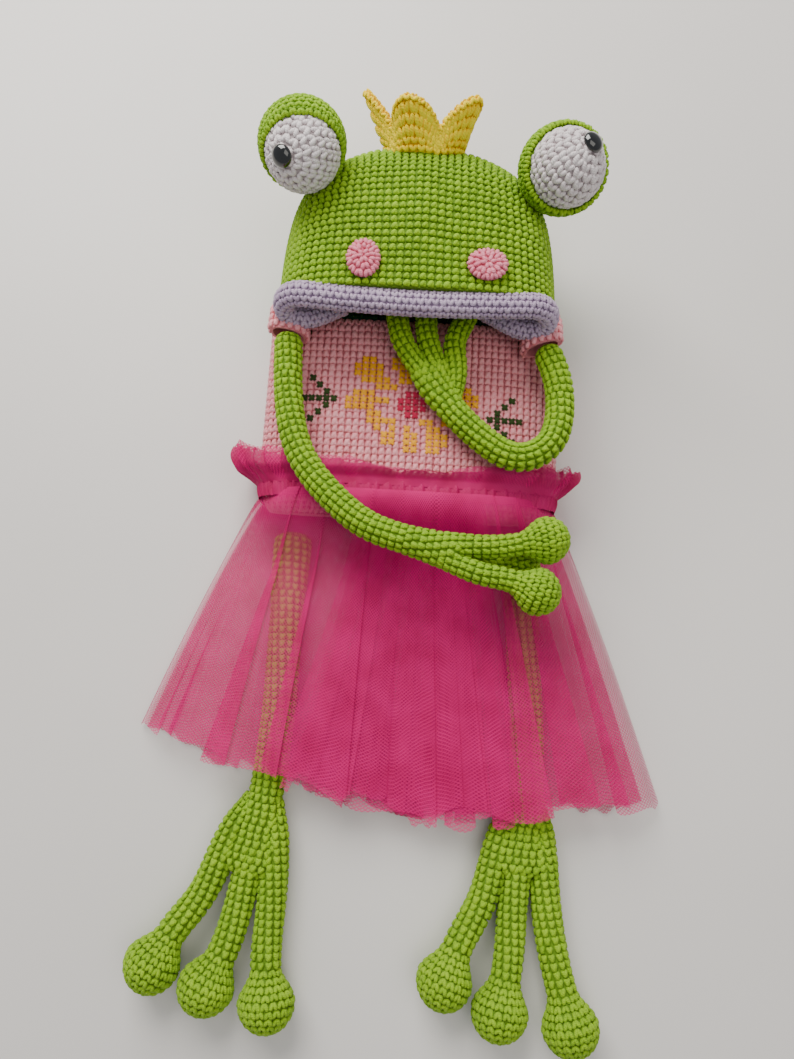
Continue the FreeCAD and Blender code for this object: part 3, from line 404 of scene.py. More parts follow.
class Patch:
    """Faces gathered for one piece, with a UV for each corner, a tint and a painted-light value for
    each point: 1 where a stitch's crown takes painted light, low for painted shade beneath.  It
    becomes one mesh."""

    def __init__(self):
        self.points, self.corners, self.totals = [], [], []
        self.uvs, self.tints, self.painted_lights = [], [], []
        self.count = 0

    def take(self, points, faces, uvs, tint, painted_light):
        """Add points, faces as an array of indices, and their values."""
        self.points.append(np.asarray(points, float).reshape(-1, 3))
        self.corners.append(faces.ravel() + self.count)
        self.totals.append(np.full(len(faces), faces.shape[1]))
        self.uvs.append(np.asarray(uvs, float).reshape(-1, 2))
        here = len(self.points[-1])
        self.tints.append(np.broadcast_to(tint, here).astype(float))
        self.painted_lights.append(np.broadcast_to(painted_light, here).astype(float))
        self.count += here

    def lobes(self, centre, along, across, out, sizes, tint):
        """Legs of yarn at many centres at once; sizes are half length, width, height."""
        n = len(centre)
        if n == 0:
            return
        shape = LOBE_POINTS[None] * np.stack(np.broadcast_arrays(*sizes), -1).reshape(-1, 1, 3)
        axes = np.stack([along, across, out], 1)
        points = centre[:, None] + np.einsum("npk,nkx->npx", np.broadcast_to(
            shape, (n, len(LOBE_POINTS), 3)), axes)
        size = len(LOBE_POINTS)
        pattern = np.concatenate([np.asarray(f) for f in LOBE_FACES])
        self.points.append(points.reshape(-1, 3))
        self.corners.append((pattern[None] + size * np.arange(n)[:, None]).ravel() + self.count)
        self.totals.append(np.tile([len(f) for f in LOBE_FACES], n))
        self.uvs.append(np.tile(LOBE_UV, (n, 1)))
        self.tints.append(np.repeat(tint, size))
        # painted light on each leg: lighter on its outward top, darker towards its foot as painted
        # shade
        self.painted_lights.append(np.tile(0.55 + 0.45 * LOBE_POINTS[:, 2], n))
        self.count += n * size

    def grid(self, points, closed=False, flip=False, uvs=None, painted_light=0.0,
             ends=(False, False)):
        """A sheet of quads over rows of points.  Ends are closed by a fan to their middle."""
        rows, cols = points.shape[:2]
        index = np.arange(rows * cols).reshape(rows, cols)
        right = np.roll(index, -1, axis=1) if closed else index[:, 1:]
        left = index if closed else index[:, :-1]
        faces = np.stack([left[:-1], left[1:], right[1:], right[:-1]], -1).reshape(-1, 4)
        faces = faces[:, ::-1] if flip else faces
        if uvs is None:
            corner = np.zeros((len(faces) * 4, 2))
        else:
            corner = uvs.reshape(-1, 2)[faces.ravel()]
        # the sheet's painted light, 0 by default: it takes the yarn's painted shade colour, as
        # under the stitches
        self.take(points, faces, corner, 0.5, painted_light)
        for wanted, row, turn in zip(ends, (index[0], index[-1]), (False, True)):
            if wanted:
                rim = points.reshape(-1, 3)[row]
                ring = np.arange(len(row))
                fan = np.stack([ring, np.roll(ring, -1), np.full(len(row), len(row))], -1)
                fan = fan[:, ::-1] if turn else fan
                self.take(np.vstack([rim, rim.mean(0)]), fan, np.zeros((len(fan) * 3, 2)),
                          0.5, painted_light)

    def mesh(self, name, material, uv_name="yarn"):
        """Write the gathered faces as one smooth-shaded object, in metres."""
        data = bpy.data.meshes.new(name)
        points = np.concatenate(self.points) * MM
        corners, totals = np.concatenate(self.corners), np.concatenate(self.totals)
        data.vertices.add(len(points))
        data.vertices.foreach_set("co", points.astype(np.float32).ravel())
        data.loops.add(len(corners))
        data.loops.foreach_set("vertex_index", corners.astype(np.int32))
        data.polygons.add(len(totals))
        starts = np.concatenate([[0], np.cumsum(totals)[:-1]])
        data.polygons.foreach_set("loop_start", starts.astype(np.int32))
        data.polygons.foreach_set("use_smooth", np.ones(len(totals), bool))
        layer = data.uv_layers.new(name=uv_name)
        layer.data.foreach_set("uv", np.concatenate(self.uvs).astype(np.float32).ravel())
        for title, values in (("tint", self.tints), ("painted_light", self.painted_lights)):
            attribute = data.attributes.new(title, "FLOAT", "POINT")
            attribute.data.foreach_set("value", np.concatenate(values).astype(np.float32))
        data.update(calc_edges=True)
        data.validate()
        data.materials.append(material)
        made = bpy.data.objects.new(name, data)
        bpy.context.scene.collection.objects.link(made)
        return made


# How the two legs of a stitch lie: crossed into a square grain, or open in a V.
GRAIN = {"lean": -27.0, "spread": 0.06, "reach": 0.60, "plump": 1.14}
FLAT_GRAIN = {"lean": -30.0, "spread": 0.07, "reach": 0.64, "plump": 1.28}
HEAD_GRAIN = {"lean": -38.0, "spread": 0.06, "reach": 0.54, "plump": 1.26}
VEE = {"lean": 26.0, "spread": 0.20, "reach": 0.62, "plump": 1.02}

SEED = {"count": 0}


def dice():
    """A fresh generator for each call, the same ones on every run."""
    SEED["count"] += 1
    return np.random.default_rng(7000 + SEED["count"])


def stitch(patch, surface, v0=0.0, v1=1.0, wide=WIDE, tall=TALL, closed=True, stagger=0.0,
           span=(0.0, 1.0), lean=14.0, spread=0.235, plump=1.0, reach=0.66, outward=1,
           fixed=None):
    """Work single crochet over a surface.  A stitch is two plump legs that lean apart like
    a V, or cross like an X where the lean is negative and the spread small; its foot and
    its top tuck under the rows beside it."""
    rng = dice()
    u, v, width, height = lay_rows(surface, v0, v1, wide, tall, closed, stagger, span, fixed)
    centre = surface(u, v)
    row, wale, out = derivatives(surface, u, v)
    out = out * outward
    n = len(u)
    tint = rng.normal(0.5, 0.12, n)
    loose = 1 + rng.normal(0, 0.05, (n, 1))
    centre = centre + row * rng.normal(0, 0.10, (n, 1)) + wale * rng.normal(0, 0.12, (n, 1))
    for side in (-1, 1):
        angle = np.radians(lean + rng.normal(0, 4, (n, 1)))
        along = unit(np.cos(angle) * wale + side * np.sin(angle) * row + 0.10 * out)
        across = unit(np.cross(out, along))
        up = np.cross(along, across)
        middle = centre + side * (row * width[:, None] * spread + out * 0.12)
        sizes = (height * reach * loose[:, 0], width * 0.30 * loose[:, 0] * plump,
                 YARN * (width / WIDE) * plump)
        patch.lobes(middle, along, across, up, sizes, tint + rng.normal(0, 0.05, n))


def under_skin(patch, surface, v0=0.0, v1=1.0, inset=0.35, columns=48, rows=48, closed=True,
               span=(0.0, 1.0), ends=(True, True)):
    """The fabric's body, just under the crowns of its stitches; it takes the yarn's darkest colour,
    painted shade in the grooves between them.
    """
    u = np.linspace(*span, columns, endpoint=not closed)
    v = np.linspace(v0, v1, rows)
    grid_u, grid_v = np.meshgrid(u, v)
    _, _, out = derivatives(surface, grid_u, grid_v)
    patch.grid(surface(grid_u, grid_v) - out * inset, closed=closed, ends=ends)


def fabric_wall(patch, outer, inner, columns=96, rows=60, closed=True, span=(0.0, 1.0)):
    """A closed wall between an outer and an inner surface, joined round its edges."""
    u = np.linspace(*span, columns, endpoint=not closed)
    v = np.linspace(0, 1, rows)
    grid_u, grid_v = np.meshgrid(u, v)
    a, b = outer(grid_u, grid_v), inner(grid_u, grid_v)
    patch.grid(a, closed=closed)
    patch.grid(b, closed=closed, flip=True)
    patch.grid(np.stack([b[0], a[0]]), closed=closed)
    patch.grid(np.stack([a[-1], b[-1]]), closed=closed)
    if not closed:
        patch.grid(np.stack([a[:, 0], b[:, 0]]))
        patch.grid(np.stack([b[:, -1], a[:, -1]]))


def centre_of(node):
    """The middle of a CAD node's box, in millimetres."""
    low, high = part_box(node)
    return np.array((low + high) / 2) / MM


def box_mm(node):
    """The corners of a CAD node's box, in millimetres."""
    low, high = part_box(node)
    return np.array(low) / MM, np.array(high) / MM


def finish(patch, name, material, nodes, body=None, bend=None):
    """Write a patch as a piece in its material slot: carried by its body, or, where a bend is
    given, only fixed in place, with nothing of the bend set up.  The CAD nodes it stands for are
    hidden."""
    made = patch.mesh(name, material)
    if bend:
        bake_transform(made)
    else:
        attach(made, body)
    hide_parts(*nodes)


JOINTS = {j["name"]: np.array(j["pos_m"]) / MM for j in frame["joints"] if j.get("pos_m")}


# --- the pouch and its embroidery ---------------------------------------------------------

POUCH_LOW, POUCH_HIGH = box_mm("pouch_shell")
POUCH_HALF = POUCH_HIGH[0]
POUCH_TOP, POUCH_END = POUCH_HIGH[1], POUCH_LOW[1]
POUCH_DEEP = POUCH_HIGH[2]
BAND_Y = box_mm("skirt_waistband")[1][1]
WALL = 4.0
DRAWN = 2.8      # how far the waistband draws the pouch in


def pouch_outside(u, v, inset=0.0):
    """The pouch: rounded slab sections, drawn in under the waistband, closing
    over the last 9 mm to a seam along the bottom."""
    u, v = np.broadcast_arrays(u, v)
    y = POUCH_END + inset + (POUCH_TOP - POUCH_END - inset) * v
    drawn = DRAWN * ease((BAND_Y + 4 - y) / 7)
    shut = np.sqrt(np.clip(1 - (1 - np.clip((y - POUCH_END - inset) / 9, 0, 1)) ** 2, 0, 1))
    half = POUCH_HALF - YARN - drawn - inset - 6 * (1 - shut)
    middle = POUCH_DEEP / 2
    deep = (middle - YARN - drawn - inset) * (0.06 + 0.94 * shut)
    return slab(u, y, half, middle - deep, middle + deep)


def pouch():
    """Square single crochet: the columns stand straight over each other.  The front and
    the back are two meshes, so that each stays light; the front has the mouth's edging."""
    for name, span in (("pouch_crochet", (0.0, 0.5)), ("pouch_back_crochet", (0.5, 1.0))):
        patch = Patch()
        fabric_wall(patch, lambda u, v: pouch_outside(u, v, 0.7),
                    lambda u, v: pouch_outside(u, v, WALL), columns=61, rows=70,
                    closed=False, span=span)
        stitch(patch, pouch_outside, 0.0, 0.985, fixed=49, closed=False, span=span,
               **FLAT_GRAIN)
        stitch(patch, lambda u, v: pouch_outside(u, v, WALL), 0.72, 0.985, fixed=45,
               closed=False, span=span, outward=-1, **FLAT_GRAIN)
        if name == "pouch_crochet":
            top = tube(rim_line(), lambda v: (np.full_like(v, 1.9), np.full_like(v, 1.7)),
                       up=(0, 1, 0))
            under_skin(patch, top, columns=8, rows=160, inset=0.5)
            stitch(patch, lambda u, v: top(v, u), 0.0, 1.0, wide=4.2, tall=3.9, closed=True,
                   outward=-1, lean=20, plump=0.85)
        finish(patch, name, PINK, ["pouch_shell"], "pouch")


def rim_line():
    """The mouth's edge: the middle of the wall all the way round."""
    u = np.linspace(0, 1, 200)
    return pouch_outside(u, np.ones_like(u), WALL / 2)


# Counted thread work on the front: one letter is one cross over one stitch.
CHART = (
    ".............gg...............",
    "........gg..gggg..............",
    ".......gggg.gggg.gg...........",
    ".......gggg..ggg.ggg..........",
    ".o......gggg.gg..gg...........",
    "..o.......ggg...gg..ggg.......",
    "...o...ggg....cc...ggggg....o.",
    "ooooo.gggggg.cccc..ggggg...o..",
    "...o..gggg...cccc.........o...",
    "..o......gg...cc.....ggg.ooooo",
    ".o.......gggg...gg.gg.....o...",
    "..........g.g.g..gg........o..",
    "...........gg.gg.ggg........o.",
    "...........gg.gg.ggg..........",
    "..............gg.gg...........",
)
CHART_MIDDLE = 8


def crosses(node, letter, material, side=0):
    """Cross stitches: two slanting lengths of thread over each charted square."""
    patch, rng = Patch(), dice()
    flower_y = centre_of("flower_centre")[1]
    cells = [(k - 14.5, n - CHART_MIDDLE + 0.5) for n, line in enumerate(CHART)
             for k, sign in enumerate(line) if sign == letter and (k - 14.5) * side >= 0]
    spots = np.array(cells)
    x, y = spots[:, 0] * WIDE, flower_y - spots[:, 1] * TALL
    share = np.clip(x / (POUCH_HALF - YARN), -1, 1)
    middle = POUCH_DEEP / 2
    z = middle + (middle - YARN) * (1 - np.abs(share) ** 3.4) ** (1 / 3.4)
    centre = np.stack([x, y, z + YARN * 0.95], -1)
    n = len(centre)
    out = np.tile([0.0, 0.0, 1.0], (n, 1))
    for layer, slant in enumerate((1, -1)):
        angle = np.radians(45 * slant + rng.normal(0, 3, n))
        along = np.stack([np.cos(angle), np.sin(angle), np.zeros(n)], -1)
        across = np.cross(out, along)
        tint = rng.normal(0.55, 0.12, n)
        for twin in (-1, 1):
            spot = centre + across * twin * 0.42 + out * (0.25 * layer)
            patch.lobes(spot, along, across, out, (WIDE * 0.66, 0.62, 0.75), tint)
    finish(patch, f"{node}_thread", material, [node], "pouch")


# --- the head -------------------------------------------------------------------------------

HOOD_LOW, HOOD_HIGH = box_mm("hood_front")
RIM_Y, SEAM_Y = HOOD_LOW[1], HOOD_HIGH[1]
HOOD_HALF, HOOD_TOP = HOOD_HIGH[0], HOOD_HIGH[2]
HOOD_FLOOR = HOOD_LOW[2]
HOOD_WALL = 4.5
# The hood is sewn to the pouch's back at its seam and lifts in front.
FLAP = ("pouch", "head", {"start": (0, 0.10, 0.008), "end": (0, 0.10, 0.050)})


def narrowing(v, power):
    """How a rounded head narrows towards its top seam: a superellipse quarter."""
    return np.clip(1 - np.clip(v, 0, 1) ** power, 0, 1) ** (1 / power)


def hood_plan(v):
    """For v from rim to top seam: how far up the head, and the half width there."""
    grow = 1 - (1 - v) ** 2.6
    return grow, (HOOD_HALF + 2 - YARN) * (1 - 0.16 * grow ** 3) * narrowing(grow, 9.0)


def hood_slope(x, grow):
    """How far a row falls away towards the sides: hardly at the mouth, steeply on the
    shoulders, so that the top edge runs flat only under the crown."""
    side = np.abs(x) / HOOD_HALF
    return 3 * ease(grow / 0.5) * side + 30 * grow ** 3 * np.clip(side - 0.34, 0, 1) ** 1.15


def hood_outside(u, v, inset=0.0):
    """The head: arches that stand on the table side, upright at the mouth and leaning back
    at both sides further up.  A soft ridge runs up the middle of the brow."""
    u, v = np.broadcast_arrays(u, v)
    grow, half = hood_plan(v)
    high = (HOOD_TOP - YARN - HOOD_FLOOR) * (1 - 0.06 * grow ** 2) * narrowing(grow, 4.2)
    half, high = np.maximum(half - inset, 0.05), np.maximum(high - inset, 0.05)
    across, up = squircle(math.pi * u, 4.4 - 0.9 * grow)
    x = half * across
    z = HOOD_FLOOR + high * up
    z = z + (2.2 * np.exp(-((x / 15) ** 2)) - 2.2) * np.sin(math.pi * grow) * up ** 2
    y = RIM_Y - 3 + (SEAM_Y - 2 - RIM_Y - inset) * grow - hood_slope(x, grow)
    return np.stack([x, y, z], -1)


def hood():
    """Two halves of the hood, so that each mesh stays light; they meet mid-brow."""
    for side, span in (("right", (0.0, 0.5)), ("left", (0.5, 1.0))):
        patch = Patch()
        fabric_wall(patch, lambda u, v: hood_outside(u, v, 0.7),
                    lambda u, v: hood_outside(u, v, HOOD_WALL), columns=60, rows=72,
                    closed=False, span=span)
        stitch(patch, hood_outside, 0.0, 0.985, closed=False, span=span, **HEAD_GRAIN)
        stitch(patch, lambda u, v: hood_outside(u, v, HOOD_WALL), 0.0, 0.20, closed=False,
               span=span, outward=-1, **GRAIN)
        finish(patch, f"hood_{side}_crochet", GREEN, ["hood_front"],
               bend=FLAP)


def back_panel():
    """The flat back of the head, worked as one piece with the pouch's back."""
    low, high = box_mm("hood_back")

    def panel(u, v):
        u, v = np.broadcast_arrays(u, v)
        grow, half = hood_plan(v)
        points = slab(u, 0.0, np.maximum(half - 1, 0.05), YARN, high[2] - YARN * 0.6, 8.0, 8.0)
        points[..., 1] = (low[1] + (high[1] - 5 - low[1]) * grow
                          - hood_slope(points[..., 0], grow))
        return points

    patch = Patch()
    under_skin(patch, panel, columns=96, rows=60)
    stitch(patch, panel, 0.0, 0.98, **HEAD_GRAIN)
    finish(patch, "hood_back_crochet", GREEN, ["hood_back"], "pouch")


def lip():
    """The rolled lip: a thick band round the mouth whose corners turn down and fold
    inwards.  Its stitches run round the roll, so their rows follow the mouth."""
    low, high = box_mm("upper_lip")
    y, z = (low[1] + high[1]) / 2, high[2] - 7.5
    right = [(0, y - 1.4, z), (30, y - 0.8, z + 0.2), (54, y + 0.6, z - 0.2),
             (66, y + 1.8, z - 3), (72, y + 1.2, z - 11), (71, y - 1.0, z - 18),
             (64, y - 2.2, z - 21), (55, y - 0.5, z - 21), (45, y + 4.5, z - 22),
             (35, y + 10, z - 26)]
    line = smooth_line([(-a - 1, b, c) for a, b, c in right[:0:-1]] + right, 360)

    def radii(v):
        far = np.abs(v - 0.5) * 2
        size = 1 - 0.10 * ease((far - 0.55) / 0.2) - 0.22 * ease((far - 0.80) / 0.2)
        end = np.sqrt(np.clip(1 - ((far - 0.96) / 0.04).clip(0, 1) ** 2, 0, 1))
        return (7.4 - YARN) * size * end * 0.86, (7.4 - YARN) * size * end

    roll = tube(line, radii, up=(0, 1, 0))
    patch = Patch()
    under_skin(patch, roll, columns=28, rows=150, inset=0.4)
    stitch(patch, lambda u, v: roll(v, u), 0.0, 1.0, wide=4.0, tall=3.4, closed=False,
           span=(0.02, 0.98), outward=-1, stagger=0.5, **VEE)
    finish(patch, "lip_crochet", LAVENDER, ["upper_lip", "lower_lip"],
           bend=("pouch", "head", {"start": (0, 0.04, 0.051), "end": (0, 0.04, 0.072)}))


def ball_profile(radius, low, high):
    """Part of a circle from one latitude to another, in degrees: radius and height."""
    def profile(v):
        angle = np.radians(low + (high - low) * v)
        return radius * np.cos(angle), radius * np.sin(angle)
    return profile


LOOKS = {
    # the cup's opening, the pupil's direction, how far the ball stands out of its cup,
    # how many degrees past its middle the cup closes, and where the soft ball sags to
    "left": ((0.14, -0.90, 0.42), (-0.42, -0.62, 0.66), 10.0, 18, (4.0, -8.0, -1.0)),
    "right": ((0.15, -0.50, 0.85), (0.47, 0.12, 0.87), 7.0, 12, (-0.5, -4.5, -1.0)),
}
EYE_RADIUS = 20.4
CUP_RADIUS = 24.4


def eye(side):
    """A white ball held in a green cup; both are worked in rounds from a pole."""
    opening, look, stand, close, sag = LOOKS[side]
    centre = centre_of(f"eyeball_{side}") + sag
    patch = Patch()
    ball = turned(centre, look, ball_profile(EYE_RADIUS - YARN * 0.9, -90, 90))
    under_skin(patch, ball, columns=48, rows=30, inset=0.3, ends=(False, False))
    stitch(patch, ball, 0.0, 0.965, wide=5.6, tall=4.5, stagger=0.37, lean=24, spread=0.2,
           plump=1.0)
    finish(patch, f"eyeball_{side}_crochet", WHITE, [f"eyeball_{side}"],
           "head")

    patch = Patch()
    button = turned(centre, look, lambda v: (
        6.0 * np.sin(math.pi * v), EYE_RADIUS + 0.2 - 2.2 * np.cos(math.pi * v) * (v < 0.5)
        - 3.8 * np.cos(math.pi * v) * (v >= 0.5)))
    under_skin(patch, button, columns=40, rows=24, inset=0.0, ends=(False, False))
    finish(patch, f"safety_eye_{side}", BLACK,
           [f"pupil_{side}", f"pupil_washer_{side}"], "head")

    patch = Patch()
    centre = centre - stand * unit(np.array(opening))
    outer = turned(centre, opening, ball_profile(CUP_RADIUS - YARN * 0.7, -90, close))
    inner = turned(centre, opening, ball_profile(CUP_RADIUS - 3.0, -90, close))
    fabric_wall(patch, outer, inner, columns=48, rows=24)
    stitch(patch, outer, 0.0, 0.97, stagger=0.5, **VEE)
    rim = CUP_RADIUS - 2.0
    edge = turned(centre, opening, lambda v: (
        rim * math.cos(math.radians(close)) + 1.5 * np.cos(math.tau * v),
        rim * math.sin(math.radians(close)) + 1.0 + 1.5 * np.sin(math.tau * v)))
    stitch(patch, edge, 0.0, 1.0, tall=3.2, **VEE)
    finish(patch, f"eye_cup_{side}_crochet", GREEN, [f"eye_cup_{side}"],
           "head")


def cheek(side):
    """A flat disc of crochet worked from the middle, pulled oval as it is sewn on."""
    low, high = box_mm(f"cheek_{side}")
    centre = (low + high) / 2
    centre[2] = low[2] - 1.2
    pull = (0.92, 1.13, 1) if side == "left" else (1.12, 0.94, 1)

    def profile(v):
        r = 9.6 * v
        return r, 3.4 * np.sqrt(np.clip(1 - v ** 2.6, 0, 1)) + 0.9

    disc = turned((0, 0, 0), (0, 0, -1), lambda v: (profile(v)[0], -profile(v)[1]))

    def dome(u, v):
        return centre + disc(u, v) * pull

    patch = Patch()
    under_skin(patch, dome, columns=32, rows=14, inset=0.3, ends=(False, True))
    stitch(patch, dome, 0.06, 0.98, wide=4.6, tall=3.3, stagger=0.4, lean=24, spread=0.22,
           plump=0.95)
    finish(patch, f"cheek_{side}_crochet", CHEEK, [f"cheek_{side}"],
           "head")


def crown():
    """Five pointed petals in a flared ring.  Each is a fan of tall stitches with a cord of
    edging, bowed outwards across and curled out at its tip."""
    axis = np.array([0, 0.86, 0.51])
    base = np.array([0.0, SEAM_Y - 13.0, HOOD_TOP * 0.65])
    wall = 1.9

    def petal(u, v, inset=0.0):
        u, v = np.broadcast_arrays(u, v)
        local = ((u * 5 + 0.75) % 1.0) * 2 - 1
        rise = 24 - 6.5 * np.clip(-np.cos(math.tau * u), 0, 1)
        edge = 8 + rise * np.clip(1 - np.abs(local) ** 1.8, 0, 1) ** 0.85
        h = edge * v
        share = h / 32
        bow = (4.5 * (1 - local ** 2) - 2.5 * np.abs(local)) * np.sin(
            np.clip(share, 0, 1) * 1.9)
        r = 22.5 + 7.0 * share ** 1.2 + bow + 2.5 * share ** 3 - inset
        angle = math.tau * u
        first = unit(np.cross(axis, (1.0, 0, 0)))
        side = np.cross(first, axis)
        return (base + (r * np.cos(angle))[..., None] * first
                + (r * np.sin(angle))[..., None] * side + h[..., None] * axis)

    patch = Patch()
    fabric_wall(patch, lambda u, v: petal(u, v, 0.5), lambda u, v: petal(u, v, wall),
                columns=160, rows=26)
    stitch(patch, petal, 0.0, 0.30, wide=4.6, tall=3.6, **VEE)
    stitch(patch, petal, 0.28, 0.93, wide=5.2, tall=6.4, lean=10, stagger=0.5)
    stitch(patch, lambda u, v: petal(u, v, wall), 0.20, 0.95, wide=5.2, tall=6.2, lean=12,
           plump=0.9, outward=-1, stagger=0.5)
    u = np.linspace(0, 1, 601)
    rim = petal(u, np.ones_like(u), wall / 2)
    cord = tube(rim, lambda v: (np.full_like(v, 1.5), np.full_like(v, 1.5)), up=axis)
    under_skin(patch, cord, columns=6, rows=300, inset=0.4)
    stitch(patch, lambda u, v: cord(v, u), 0.0, 1.0, wide=4.4, tall=3.2, outward=-1,
           lean=34, plump=0.85)
    finish(patch, "crown_crochet", YELLOW, ["crown"], "head")


# --- arms and legs -----------------------------------------------------------------------------

ARM_RADIUS, LEG_RADIUS = 8.1, 9.6
BEND_REACH = 9.0     # a limb bends over this length on either side of its joint
FINGER_RADIUS, FINGER_BALL = 6.45, 13.0
TOE_RADIUS, TOE_BALL = 8.2, 15.2
LIMBS = {
    # points from the shoulder or hip to the hand or foot, in the limb's flat plane
    "arm_left": {
        "line": [(1.5, 0), (3, -24), (6.5, -50), (15, -73), (33, -94), (54, -109),
                 (73, -115), (88, -118.5), (104, -121.5)],
        "radius": ARM_RADIUS, "palm": (10.5, 7.0), "around": 11,
        "joints": ("shoulder_left", "elbow_left", "wrist_left"),
        "bodies": ("upper_arm_left", "forearm_left", "hand_left"),
        "nodes": ("upper_arm_left", "forearm_left", "palm_left"),
        "digits": [((110, -117), (148, -112)), ((111, -131), (143.5, -139.5)),
                   ((104, -123), (136, -123.5))],
        "digit_names": "finger_left", "stem": FINGER_RADIUS, "ball": FINGER_BALL,
    },
    "arm_right": {
        "line": [(0, 0), (7, -18), (9, -38), (3, -58), (-14, -66), (-33, -57), (-51, -40),
                 (-60, -27), (-65, -13)],
        "radius": ARM_RADIUS, "palm": (12.0, 7.0), "around": 11,
        "joints": ("shoulder_right", "elbow_right", "wrist_right"),
        "bodies": ("upper_arm_right", "forearm_right", "hand_right"),
        "nodes": ("upper_arm_right", "forearm_right", "palm_right"),
        "digits": [((-79.5, -3), (-92, 34)), ((-65.2, -3), (-66.8, 41)),
                   ((-50.8, -4), (-40.5, 34))],
        "digit_names": "finger_right", "stem": FINGER_RADIUS, "ball": FINGER_BALL,
    },
    "leg_left": {
        "line": [(0, 0), (-0.5, -35), (-0.5, -70), (-0.5, -100), (-2, -128), (-4, -148),
                 (-7, -166), (-12, -191)],
        "radius": LEG_RADIUS, "palm": (22.0, 8.8), "around": 12,
        "joints": ("hip_left", "knee_left", "ankle_left"),
        "bodies": ("thigh_left", "shin_left", "foot_left"),
        "nodes": ("thigh_left", "shin_left", "foot_left"),
        "digits": [((-35, -203), (-56, -236)), ((-14.5, -210), (-26.5, -245.5)),
                   ((3.5, -210), (5.5, -252))],
        "digit_names": "toe_left", "stem": TOE_RADIUS, "ball": TOE_BALL,
    },
    "leg_right": {
        "line": [(0, 0), (4, -30), (6, -66), (8, -95), (9, -122), (9, -142), (7.5, -160),
                 (5.5, -185)],
        "radius": LEG_RADIUS, "palm": (22.0, 8.8), "around": 12,
        "joints": ("hip_right", "knee_right", "ankle_right"),
        "bodies": ("thigh_right", "shin_right", "foot_right"),
        "nodes": ("thigh_right", "shin_right", "foot_right"),
        "digits": [((-15, -200), (-33, -237)), ((2.5, -203), (-3.5, -250.5)),
                   ((21, -199), (33.5, -256))],
        "digit_names": "toe_right", "stem": TOE_RADIUS, "ball": TOE_BALL,
    },
}


def limb_surface(spec):
    """A stuffed tube, fuller at the hip, that flattens into the palm or foot at its far
    end, between the roots of the digits."""
    start = JOINTS[spec["joints"][0]]
    line = smooth_line([(start[0] + x, start[1] + y, start[2]) for x, y in spec["line"]], 300)
    total = length_of(line)
    wrist = place_on(line, JOINTS[spec["joints"][2]])
    wide, thick = spec["palm"]
    base = spec["radius"] - YARN
    full = 0.22 if spec["radius"] == LEG_RADIUS else 0.0

    def radii(v):
        near = np.sqrt(np.clip(1 - (1 - np.clip(v * total / 7, 0, 1)) ** 2, 0, 1))
        far = np.sqrt(np.clip(1 - np.clip((v - 0.96) / 0.04, 0, 1) ** 2, 0, 1))
        spread = ease((v - wrist + 0.01) / (0.99 - wrist))
        hip = 1 + full * (1 - ease(v / 0.28))
        a = base * hip + (wide - YARN - base) * spread
        b = base + (thick - YARN - base) * spread
        return a * near * far, b * near * far

    return tube(line, radii), line


def place_on(line, point):
    """Share of a line's length where it passes nearest to a point."""
    return float(np.argmin(np.linalg.norm(line - point, axis=1))) / (len(line) - 1)


def limb(spec):
    """Three skins from root to hand; they meet at the middle of a segment, where nothing bends.
    The first is carried by the limb's root body; the two past a joint are fixed where they lie and
    do not bend with it."""
    surface, line = limb_surface(spec)
    _, middle, last = (place_on(line, JOINTS[j]) for j in spec["joints"])
    cuts = [0.0, middle / 2, (middle + last) / 2, 1.0]
    bodies = spec["bodies"]
    for n in range(3):
        patch = Patch()
        v0, v1 = cuts[n], cuts[n + 1]
        under_skin(patch, surface, v0, v1, columns=26, rows=40, inset=0.35)
        if n < 2:
            stitch(patch, surface, v0, v1, fixed=spec["around"], stagger=0.07, **GRAIN)
        else:
            stitch(patch, surface, v0, last, fixed=spec["around"], stagger=0.07, **GRAIN)
            stitch(patch, surface, last, 0.99, stagger=0.3, **GRAIN)
        bend = None
        if n:
            joint = JOINTS[spec["joints"][n]]
            way = unit(line[int(v1 * 299) - 1] - line[int(v0 * 299) + 1]) * BEND_REACH
            bend = (bodies[n - 1], bodies[n], {"start": tuple((joint - way) * MM),
                                               "end": tuple((joint + way) * MM)})
        finish(patch, f"{bodies[n]}_crochet", GREEN, [spec["nodes"][n]],
               bodies[0], bend)


